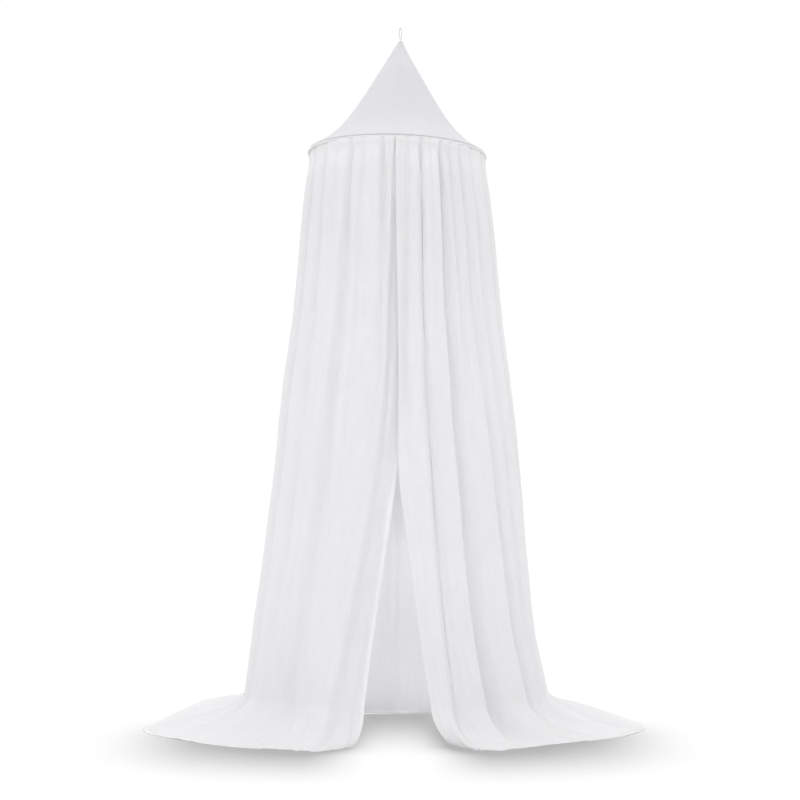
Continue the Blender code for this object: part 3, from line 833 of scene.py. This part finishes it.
arch = [(half_eye * math.cos(a), eye_top + half_eye * math.sin(a)) for a in arch]
line = np.array([*side_line, *arch, *[(-x, z) for x, z in reversed(side_line)]])
at = running_sum(np.linalg.norm(np.diff(line, axis=0), axis=1))
fine = np.linspace(0, at[-1], LOOP_POINTS)
tape_line = np.stack([smooth_table(fine, at, line[:, 0]), smooth_table(fine, at, line[:, 1])], axis=1)
along = np.gradient(tape_line, axis=0)
along /= np.linalg.norm(along, axis=1)[:, None]
out_way = np.stack([along[:, 1], -along[:, 0]], axis=1)
tape_shape = (LOOP_POINTS, len(TAPE_SECTION))
wide = np.broadcast_to(TAPE_SECTION[:, 0] * LOOP_TAPE_WIDTH / 2, tape_shape)
through = TAPE_SECTION[None, :, 1, None]
flat = tape_line[:, None] + out_way[:, None] * through * LOOP_TAPE / 2
tape_points = np.stack([flat[:, :, 0], wide, flat[:, :, 1]], axis=2)
tape_uv = [wide + BACK_OF_TAPE * (TAPE_SECTION[:, 1] < 0), np.broadcast_to(fine[:, None], tape_shape)]
tape = swept("tape_loop", tape_points, np.stack(tape_uv, axis=2), closed=False)
print("the tape is", round(float(at[-1]), 3), "m long")

# %% [markdown]
# ## Materials
#
# Washed cotton is matt, almost white and a little uneven: fine crinkles run along its threads, some threads
# are thicker than others, and dye and light give soft patches. Part of the light goes through it, which is
# why the inside of the drape isn't dark. We start with helpers that put nodes together, because the same few
# steps come again and again.

# %% Material helpers
def new_tree(owner):
    """The emptied node tree of a material or a world."""
    owner.use_nodes = True
    owner.node_tree.nodes.clear()
    return owner.node_tree


def add_node(tree, kind, settings=None, **inputs):
    """A new node with its settings, and with its sockets set or linked."""
    made = tree.nodes.new(kind)
    for key, value in (settings or {}).items():
        setattr(made, key, value)
    for key, value in inputs.items():
        socket = made.inputs[int(key[1:])] if key[1:].isdigit() else made.inputs[key.replace("_", " ")]
        if isinstance(value, bpy.types.NodeSocket):
            tree.links.new(value, socket)
        else:
            socket.default_value = value
    return made


def math_node(tree, operation, a, b=0.0):
    return add_node(tree, "ShaderNodeMath", {"operation": operation}, s0=a, s1=b).outputs[0]


def times(tree, a, b):
    return math_node(tree, "MULTIPLY", a, b)


def rest_of(tree, share):
    return math_node(tree, "SUBTRACT", 1.0, share)


def weighted(tree, parts, start=0.0):
    """start + the sum of (value - 0.5) * weight."""
    total = start
    for value, weight in parts:
        total = math_node(tree, "ADD", times(tree, math_node(tree, "SUBTRACT", value, 0.5), weight), total)
    return total


def surface(tree, colour, shade, rough, height, strength):
    """A Principled shader whose colour is shaded and whose relief is a bump, and its inputs."""
    tint = add_node(tree, "ShaderNodeVectorMath", {"operation": "SCALE"}, s0=colour, Scale=shade).outputs[0]
    bump = add_node(tree, "ShaderNodeBump", Strength=strength, Distance=1.0, Height=height).outputs[0]
    shader = add_node(tree, "ShaderNodeBsdfPrincipled", Base_Color=tint, Roughness=rough, Normal=bump)
    return shader, tint, bump


print("helpers for nodes are ready")

# %% [markdown]
# One function builds all the cottons from the same few textures on the UV map, so that the weave and the
# crinkles follow the cloth into its folds. A table says how the four cloths differ: their colour, how much
# light goes through, how far apart the yarns are, how strong the crinkles, the streaks and the patches are,
# and how much lighter the marked cloth is, for a hem's doubled cloth and for painted light.

# %% Cotton
Cotton = namedtuple("Cotton", "name colour glow pitch crinkle streaks patches hem_white")
DRAPE_CLOTH, ROOF_CLOTH, CASING_CLOTH, TAPE_CLOTH = rows_of(Cotton, (
    ("muslin", (0.85, 0.85, 0.86), 0.30, 0.0011, 0.0006, 0.03, 0.04, 0.045),
    # the roof's colour is darker than the drape's: partly its own greyer cloth, partly painted shade that
    # holds back the overhead lamp on the cone
    ("roof_cotton", (0.715, 0.71, 0.735), 0.25, 0.0008, 0.0002, 0.02, 0.03, 0.0),
    ("casing_cotton", (0.79, 0.79, 0.80), 0.20, 0.0008, 0.0003, 0.05, 0.04, 0.0),
    ("tape_cotton", (0.62, 0.62, 0.63), 0.10, 0.0007, 0.0001, 0.02, 0.04, 0.0),
))
LONG_GRAIN, WIDE_GRAIN, PATCH_GRAIN = (170.0, 26.0), (60.0, 11.0), (6.0, 4.0)
SLUB_GRAIN, UPRIGHT_SLUB_GRAIN = (14.0, 900.0), (900.0, 10.0)
SLUB_SHADE, UPRIGHT_SLUB_SHADE = 0.025, 0.03
WIDE_CRINKLE = 1.6  # of the long crinkle's relief
SLUB_RELIEF, UPRIGHT_SLUB_RELIEF, WEAVE_RELIEF = 0.00012, 0.00010, 0.00016
DULLNESS, PATCH_DULLNESS, CRINKLE_DULLNESS = 0.88, 0.08, 0.06
COTTON_BUMP, COTTON_SPECULAR, COTTON_SHEEN, SHEEN_ROUGHNESS = 0.9, 0.2, 0.25, 0.5
BANDS_IN_A_METRE = 20 / (2 * math.pi)  # of a Wave texture whose scale is one
YARN = {"Distortion": 1.2, "Detail": 1.0, "Detail_Scale": 0.6}


def grain(tree, place, scale, detail=2.0):
    """Noise on the flat cloth, finer across than along where the first scale is the larger."""
    spread = add_node(tree, "ShaderNodeMapping", Vector=place, Scale=(*scale, 1.0)).outputs[0]
    flat = {"noise_dimensions": "2D"}
    return add_node(tree, "ShaderNodeTexNoise", flat, Vector=spread, Scale=1.0, Detail=detail).outputs[0]


def threads(tree, place, pitch, direction):
    """Yarns beside each other, `pitch` metres apart."""
    bands = {"wave_type": "BANDS", "bands_direction": direction}
    scale = 1 / BANDS_IN_A_METRE / pitch
    return add_node(tree, "ShaderNodeTexWave", bands, Vector=place, Scale=scale, **YARN).outputs["Fac"]


def cotton(cloth):
    """The material of a cotton cloth."""
    made = bpy.data.materials.new(cloth.name)
    tree = new_tree(made)
    place = add_node(tree, "ShaderNodeUVMap", {"uv_map": "cloth"}).outputs[0]
    long_crinkle = grain(tree, place, LONG_GRAIN)
    wide_crinkle = grain(tree, place, WIDE_GRAIN)
    patch = grain(tree, place, PATCH_GRAIN, detail=3.0)
    slub = grain(tree, place, SLUB_GRAIN, detail=1.0)
    upright = grain(tree, place, UPRIGHT_SLUB_GRAIN, detail=1.0)
    weave = times(tree, threads(tree, place, cloth.pitch, "Y"), threads(tree, place, cloth.pitch, "X"))
    lighter_cloth_and_painted_light = add_node(tree, "ShaderNodeAttribute", {"attribute_name": "hem"}).outputs["Fac"]
    streaks = [(long_crinkle, cloth.streaks), (wide_crinkle, cloth.streaks), (patch, cloth.patches)]
    streaks += [(slub, SLUB_SHADE), (upright, UPRIGHT_SLUB_SHADE)]
    shade = weighted(tree, streaks, start=1.0)
    # The colour is made lighter where the sheet's mark is set: for a hem's doubled cloth, and as painted
    # highlight and painted light on the drape.
    shade = math_node(tree, "ADD", shade, times(tree, lighter_cloth_and_painted_light, cloth.hem_white))
    dull = weighted(tree, [(patch, PATCH_DULLNESS), (long_crinkle, CRINKLE_DULLNESS)], start=DULLNESS)
    relief = [(long_crinkle, cloth.crinkle), (wide_crinkle, WIDE_CRINKLE * cloth.crinkle)]
    relief += [(slub, SLUB_RELIEF), (upright, UPRIGHT_SLUB_RELIEF), (weave, WEAVE_RELIEF)]
    shader, tint, bump = surface(tree, cloth.colour, shade, dull, weighted(tree, relief), COTTON_BUMP)
    shader.inputs["Specular IOR Level"].default_value = COTTON_SPECULAR
    shader.inputs["Sheen Weight"].default_value = COTTON_SHEEN
    shader.inputs["Sheen Roughness"].default_value = SHEEN_ROUGHNESS
    through = add_node(tree, "ShaderNodeBsdfTranslucent", Color=tint, Normal=bump)
    both = add_node(tree, "ShaderNodeMixShader", s0=cloth.glow, s1=shader.outputs[0], s2=through.outputs[0])
    add_node(tree, "ShaderNodeOutputMaterial", Surface=both.outputs[0])
    return made


for piece, cloth in ((drape, DRAPE_CLOTH), (roof, ROOF_CLOTH), (casing, CASING_CLOTH), (tape, TAPE_CLOTH)):
    piece.data.materials.append(cotton(cloth))
print(len(bpy.data.materials), "materials so far")

# %% [markdown]
# The hoop is a satin plastic rod that the casing hides. It keeps its CAD shape, and its faint streaks run on
# Object coordinates, because it has no UV map. The sewing thread is a smooth, slightly glossy cotton.

# %% Rod and thread
PLAIN_DETAIL, PLAIN_BUMP, STREAK_ROUGHNESS = 3.0, 0.8, 0.15


def plain_finish(name, colour, roughness, scale, variation, bump_height):
    """A finish on Object coordinates with soft streaks in colour and relief."""
    made = bpy.data.materials.new(name)
    tree = new_tree(made)
    place = add_node(tree, "ShaderNodeTexCoord").outputs["Object"]
    streak = add_node(tree, "ShaderNodeTexNoise", Vector=place, Scale=scale, Detail=PLAIN_DETAIL).outputs[0]
    shade = weighted(tree, [(streak, variation)], start=1.0)
    rough = weighted(tree, [(streak, STREAK_ROUGHNESS)], start=roughness)
    height = weighted(tree, [(streak, bump_height)])
    shader, _, _ = surface(tree, colour, shade, rough, height, PLAIN_BUMP)
    add_node(tree, "ShaderNodeOutputMaterial", Surface=shader.outputs[0])
    return made


rod_plastic = plain_finish("hoop_plastic_finish", (0.80, 0.80, 0.78), 0.42, 90.0, 0.06, 0.0002)
thread_cotton = plain_finish("sewing_thread", (0.86, 0.86, 0.86), 0.60, 2500.0, 0.10, 0.00005)
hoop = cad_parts["hoop"]
for slot in hoop.material_slots:
    slot.material = rod_plastic
print("the hoop has", len(hoop.material_slots), "material slot")

# %% [markdown]
# ## Stitches with Geometry Nodes
#
# A seam is the same small stitch over and over along a line, which is what Geometry Nodes do well. The tree
# takes a line, sets points along it, puts a stitch at each, turns it along the line and makes it slightly
# uneven with a fixed seed. Realize Instances makes real faces of them, because an export drops instances.

# %% Stitch tree
STITCH_INPUTS = (("Spacing", 0.004), ("Stitch Length", 0.003), ("Thread Radius", 0.0003), ("Uneven", 0.15))
BEAD_SEGMENTS, BEAD_RINGS = 6, 4


def stitch_tree():
    tree = bpy.data.node_groups.new("running_stitch", "GeometryNodeTree")
    face = tree.interface
    face.new_socket("Geometry", in_out="INPUT", socket_type="NodeSocketGeometry")
    for name, value in STITCH_INPUTS:
        face.new_socket(name, in_out="INPUT", socket_type="NodeSocketFloat").default_value = value
    face.new_socket("Seed", in_out="INPUT", socket_type="NodeSocketInt").default_value = 1
    face.new_socket("Thread", in_out="INPUT", socket_type="NodeSocketMaterial")
    face.new_socket("Geometry", in_out="OUTPUT", socket_type="NodeSocketGeometry")
    given = tree.nodes.new("NodeGroupInput").outputs

    def made(kind, settings=None, **inputs):
        return add_node(tree, kind, settings, **inputs).outputs[0]

    curve = made("GeometryNodeMeshToCurve", Mesh=given["Geometry"])
    points = made("GeometryNodeResampleCurve", {"mode": "LENGTH"}, Curve=curve, Length=given["Spacing"])
    bead = made("GeometryNodeMeshUVSphere", Segments=BEAD_SEGMENTS, Rings=BEAD_RINGS, Radius=1.0)
    half, radius = times(tree, given["Stitch Length"], 0.5), given["Thread Radius"]
    stitch_size = made("ShaderNodeCombineXYZ", X=half, Y=radius, Z=radius)
    stitch = made("GeometryNodeTransform", Geometry=bead, Scale=stitch_size)
    tangent = made("GeometryNodeInputTangent")
    along_line = made("FunctionNodeAlignRotationToVector", {"axis": "X"}, Vector=tangent)
    vary = add_node(tree, "FunctionNodeRandomValue", {"data_type": "FLOAT"}, Seed=given["Seed"])
    low, high = [socket for socket in vary.inputs if socket.type == "VALUE" and socket.enabled][:2]
    tree.links.new(rest_of(tree, given["Uneven"]), low)
    tree.links.new(math_node(tree, "ADD", 1.0, given["Uneven"]), high)
    random_size = [socket for socket in vary.outputs if socket.type == "VALUE" and socket.enabled][0]
    placed = {"Points": points, "Instance": stitch, "Rotation": along_line, "Scale": random_size}
    sewn_on = made("GeometryNodeInstanceOnPoints", **placed)
    real = made("GeometryNodeRealizeInstances", Geometry=sewn_on)
    smooth = made("GeometryNodeSetShadeSmooth", Geometry=real)
    finish = made("GeometryNodeSetMaterial", Geometry=smooth, Material=given["Thread"])
    add_node(tree, "NodeGroupOutput", Geometry=finish)
    return tree


STITCHES = stitch_tree()
print("the stitch tree has", len(STITCHES.nodes), "nodes")

# %% [markdown]
# A line to sew is a mesh of nothing but edges. The modifier turns it into stitches, the result is kept as a
# plain mesh, and the line is thrown away. The inputs are set before the tree runs for the first time.

# %% Sewing a line
Stitch = namedtuple("Stitch", "spacing length radius seed")
HEM_STITCH, GATHER_STITCH, SEAM_STITCH, TACK_STITCH = rows_of(Stitch, (
    (0.0042, 0.0030, 0.00028, 61),
    (0.0036, 0.0026, 0.00026, 62),
    (0.0036, 0.0026, 0.00026, 63),
    (0.0009, 0.0011, 0.00022, 64),
))


def sew(name, lines, stitch):
    """Stitches along several lines of points, as one plain mesh."""
    vertices, edges = [], []
    for points in lines:
        start = len(vertices)
        vertices += [tuple(point) for point in points]
        edges += [(start + i, start + i + 1) for i in range(len(points) - 1)]
    mesh = bpy.data.meshes.new(name + "_line")
    mesh.from_pydata(vertices, edges, [])
    guide = in_scene(name + "_line", mesh)
    modifier = guide.modifiers.new("stitches", "NODES")
    modifier.node_group = STITCHES
    values = {
        "Spacing": stitch.spacing,
        "Stitch Length": stitch.length,
        "Thread Radius": stitch.radius,
        "Seed": stitch.seed,
        "Thread": thread_cotton,
    }
    for item in STITCHES.interface.items_tree:
        if item.item_type == "SOCKET" and item.in_out == "INPUT" and item.name in values:
            modifier[item.identifier] = values[item.name]
    depsgraph = bpy.context.evaluated_depsgraph_get()
    made = bpy.data.meshes.new_from_object(guide.evaluated_get(depsgraph))
    made.name = name
    bpy.data.objects.remove(guide)
    made.calc_loop_triangles()
    print(name, "has", len(made.loop_triangles), "triangles")
    return in_scene(name, made)


print("each line of stitches becomes one mesh")

# %% [markdown]
# The hems are sewn down 10.5 mm from the edge: beside both front edges and along the floor. Two rows hold
# the gathers 20 mm under the casing. All of these lines lie on the drape's outer face.

# %% Drape stitches
HEM_STITCH_AT = 0.0105


def between(a, b, share):
    return a + (b - a) * share


hem_share = (HEM_STITCH_AT - HEM_STOPS[1]) / (HEM_STOPS[2] - HEM_STOPS[1])
outer_hem = world_place + normal * (HEM_THICKNESS / 2)
lowest = FLOOR + CLEAR_OF_FLOOR + 2 * HEM_STITCH.radius
outer_hem[:, :, 2] = np.maximum(outer_hem[:, :, 2], lowest)
hem_lines = [
    between(outer_hem[:-3, 1], outer_hem[:-3, 2], hem_share),
    between(outer_hem[:-3, -2], outer_hem[:-3, -3], hem_share),
    between(outer_hem[-2, 2:-2], outer_hem[-3, 2:-2], hem_share),
]
pinch_row = len([d for d in SEWN_DROPS if d < PINCH_DROP * 1000])
on_cloth_face = world_place + normal * (CLOTH_THICKNESS / 2)
gather_lines = [on_cloth_face[pinch_row - 1, 2:-2], on_cloth_face[pinch_row + 1, 2:-2]]
hem_stitches = sew("hem_stitches", hem_lines, HEM_STITCH)
gather_stitches = sew("gather_stitches", gather_lines, GATHER_STITCH)

# %% [markdown]
# The roof's seam is sewn down on both sides, and one row round the hoop joins the roof to the casing. A
# short zigzag, a bar tack, locks the tape's two ends under the eye. The seam's rows end just under the tip,
# where the two would meet.

# %% Roof and loop stitches
SEAM_STITCH_AT = 0.0030
SEAM_TOP = 2.2 * SEAM_STITCH_AT  # the roof's radius where the seam's rows end
TACK_TURNS = 9
TACK_TOP = eye_foot - 0.0012
TACK_STEP = 0.00042
TACK_HALF_WIDTH = half_tail * 1.6
TACK_FACE = -LOOP_TAPE_WIDTH / 2 - 0.0001
roof_face = roof_rounds + roof_way * (ROOF_THICKNESS / 2)


def on_roof(bearing, row):
    """A point on the roof's outer face at a bearing, in radians, in one of its rows."""
    column, share = divmod(bearing / (2 * math.pi / ROOF_ROUND_STEPS), 1.0)
    near, far = (roof_face[row, (int(column) + i) % ROOF_ROUND_STEPS] for i in (0, 1))
    return between(near, far, share)


seam = math.radians(ROOF_SEAM_BEARING)
seam_rows = [row for row in range(len(row_radius) - 3) if row_radius[row] > SEAM_TOP]
seam_lines = [
    tilted(np.array([on_roof(seam + side * SEAM_STITCH_AT / row_radius[row], row) for row in seam_rows]))
    for side in (-1, 1)
]
collar_row = len(row_radius) - 2
collar_line = tilted(np.concatenate([roof_face[collar_row], roof_face[collar_row, :1]]))
roof_stitches = sew("roof_stitches", [*seam_lines, collar_line], SEAM_STITCH)
tack = [
    ((-1 if i % 2 else 1) * TACK_HALF_WIDTH, TACK_FACE, TACK_TOP - TACK_STEP * i / 2)
    for i in range(2 * TACK_TURNS)
]
loop_stitches = sew("loop_stitches", [tack], TACK_STITCH)

# %% [markdown]
# ## Floor and light
#
# The photograph stands on a white ground, with a soft shadow on the floor in front of the object only. A
# floor that glows evenly gives the white. Outside the drape, Ambient Occlusion tells how much of the space
# over a spot is taken up, and the share of it that lies in front is kept as the shadow. In the slit the
# shade is painted on Object coordinates instead: darkest at the back hem and a little darker beside the two
# panels, because a glowing floor under cloth that lets light through gives no shade of its own.

# %% Floor
FLOOR_HALF = 15.0
GLOW = 1.01  # just over one, so that the ground is pure white
SHADOW_REACH = 0.60
SHADOW_DEPTH = 3.4
DARKEST = 0.46  # of the ground's white, where cloth touches it
SHADOW_ENDS = (0.32, -0.12)  # y where the shadow starts, behind, and where it is full
SHADOW_SIDES = (0.88, 0.50)  # x from the axis where it has faded, and where it is full
SLIT_SHADE = 0.46  # of the ground's white, just before the back hem
SLIT_SIDE_SHADE = 0.12  # how much darker it is beside the two panels
SLIT_FRONT = (-0.46, -0.30)  # y where the panels' shade has ended, and where it is full
SLIT_HALF_WIDTH = 0.097
SLIT_ENDS = (0.36, -0.52)  # y where that shade is full, and where it has faded to white
SLIT_BACK = (0.345, 0.338)  # y where the slit's shade starts, under the cloth of the back hem
SLIT_WIDTHS = (0.25, 0.05)  # x from the axis where only the outer shadow counts, and only the slit's
AO_SAMPLES = 24
mesh = bpy.data.meshes.new("studio_floor")
square = [(-FLOOR_HALF, -FLOOR_HALF), (FLOOR_HALF, -FLOOR_HALF), (FLOOR_HALF, FLOOR_HALF)]
square.append((-FLOOR_HALF, FLOOR_HALF))
mesh.from_pydata([(x, y, FLOOR) for x, y in square], [], [(0, 1, 2, 3)])
floor = in_scene("studio_floor", mesh)
ground = bpy.data.materials.new("studio_ground")
tree = new_tree(ground)
open_sky = add_node(tree, "ShaderNodeAmbientOcclusion", {"samples": AO_SAMPLES}, Distance=SHADOW_REACH)
spot = add_node(tree, "ShaderNodeTexCoord").outputs["Object"]
spot = add_node(tree, "ShaderNodeSeparateXYZ", Vector=spot).outputs


def fading(value, ends, low, high):
    """A soft change from low to high between two values."""
    span = {"From_Min": ends[0], "From_Max": ends[1], "To_Min": low, "To_Max": high}
    soft = {"interpolation_type": "SMOOTHSTEP"}
    return add_node(tree, "ShaderNodeMapRange", soft, Value=value, **span).outputs[0]


from_axis = math_node(tree, "ABSOLUTE", math_node(tree, "SUBTRACT", spot["X"], AXIS_X))
# painted shadow: in front of the drape the floor's glow is darkened by Ambient Occlusion
shadow = rest_of(tree, math_node(tree, "POWER", open_sky.outputs["AO"], SHADOW_DEPTH))
shadow = times(tree, shadow, fading(spot["Y"], SHADOW_ENDS, 0.0, 1.0))
shadow = times(tree, shadow, fading(from_axis, SHADOW_SIDES, 0.0, 1.0))
beside = math_node(tree, "POWER", math_node(tree, "DIVIDE", from_axis, SLIT_HALF_WIDTH), 2.0)
beside = times(tree, beside, fading(spot["Y"], SLIT_FRONT, 0.0, SLIT_SIDE_SHADE))
in_slit = times(tree, rest_of(tree, beside), fading(spot["Y"], SLIT_ENDS, SLIT_SHADE, 1.0))
inside = times(tree, fading(from_axis, SLIT_WIDTHS, 0.0, 1.0), fading(spot["Y"], SLIT_BACK, 0.0, 1.0))
blend = {"Factor": inside, "A": rest_of(tree, shadow), "B": in_slit}
open_share = add_node(tree, "ShaderNodeMix", {"data_type": "FLOAT"}, **blend).outputs[0]
glow = times(tree, math_node(tree, "MAXIMUM", open_share, DARKEST), GLOW)
white = add_node(tree, "ShaderNodeEmission", Color=(1.0, 1.0, 1.0, 1.0), Strength=glow)
add_node(tree, "ShaderNodeOutputMaterial", Surface=white.outputs[0])
mesh.materials.append(ground)
print("the floor is", 2 * FLOOR_HALF, "m wide, at height", FLOOR)

# %% [markdown]
# The light is a bright white room, with a soft lamp at the front left, so that the right side of the drape
# and of each fold is a shade darker, and a soft one overhead, which lights the cone and the cloth on the
# floor. Three weak lamps inside the drape stand for the light that comes through the cloth. The camera sees
# the room in plain white, as bright as the floor.

# %% Light
ROOM_LIGHT = 1.21
KEY_WATTS, KEY_SIZE = 9.0, 2.4
KEY_PLACE = (-0.9, -3.8, FLOOR + 2.4)
KEY_AIM = (0.0, 0.0, FLOOR + 0.9)
TOP_WATTS, TOP_SIZE = 16.0, 3.0
TOP_PLACE = (0.0, 0.0, FLOOR + 3.4)
INNER_WATTS = 0.95
INNER_HEIGHTS = (0.07, 0.45, 1.00)  # above the floor
INNER_Y, INNER_SOFTNESS = 0.05, 0.1
CLOTH_BOUNCES = 8  # light goes through the cloth and back several times


def lamp(name, kind, watts, place):
    made = in_scene(name, bpy.data.lights.new(name, kind))
    made.data.energy = watts
    made.location = place
    return made


world = bpy.data.worlds.new("studio")
tree = new_tree(world)
room, seen_white = (
    add_node(tree, "ShaderNodeBackground", Color=(1.0, 1.0, 1.0, 1.0), Strength=strength).outputs[0]
    for strength in (ROOM_LIGHT, GLOW)
)
ray = add_node(tree, "ShaderNodeLightPath").outputs["Is Camera Ray"]
both = add_node(tree, "ShaderNodeMixShader", s0=ray, s1=room, s2=seen_white)
add_node(tree, "ShaderNodeOutputWorld", Surface=both.outputs[0])
bpy.context.scene.world = world
key = lamp("key_light", "AREA", KEY_WATTS, KEY_PLACE)
key.data.size = KEY_SIZE
aim = np.array(KEY_AIM) - np.array(KEY_PLACE)
key.rotation_euler = (math.acos(-aim[2] / np.linalg.norm(aim)), 0.0, math.atan2(-aim[0], aim[1]))
lamp("overhead_light", "AREA", TOP_WATTS, TOP_PLACE).data.size = TOP_SIZE
for height in INNER_HEIGHTS:
    inner = lamp("inner_light", "POINT", INNER_WATTS, (AXIS_X, INNER_Y, FLOOR + height))
    inner.data.shadow_soft_size = INNER_SOFTNESS
    inner.visible_camera = False
bpy.context.scene.view_settings.view_transform = "Standard"
bpy.context.scene.cycles.diffuse_bounces = CLOTH_BOUNCES
print("key light", KEY_WATTS, "W, aimed along", [round(float(a), 2) for a in aim])

# %% [markdown]
# ## Handing the pieces to the frame
#
# Each piece rides on the root body, and the imported solid that it stands for is hidden. The stitches ride on
# the root body too.

# %% Pieces on the frame
for piece, node, slot_name in (
    (drape, "drape", "drape_cloth"),
    (roof, "roof", "roof_cloth"),
    (casing, "hoop_casing", "casing_cloth"),
    (tape, "hanging_loop", "tape"),
):
    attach(piece, "root")
    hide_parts(node)
for piece, slot_name in (
    (hem_stitches, "drape_cloth"),
    (gather_stitches, "drape_cloth"),
    (roof_stitches, "roof_cloth"),
    (loop_stitches, "tape"),
):
    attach(piece, "root")
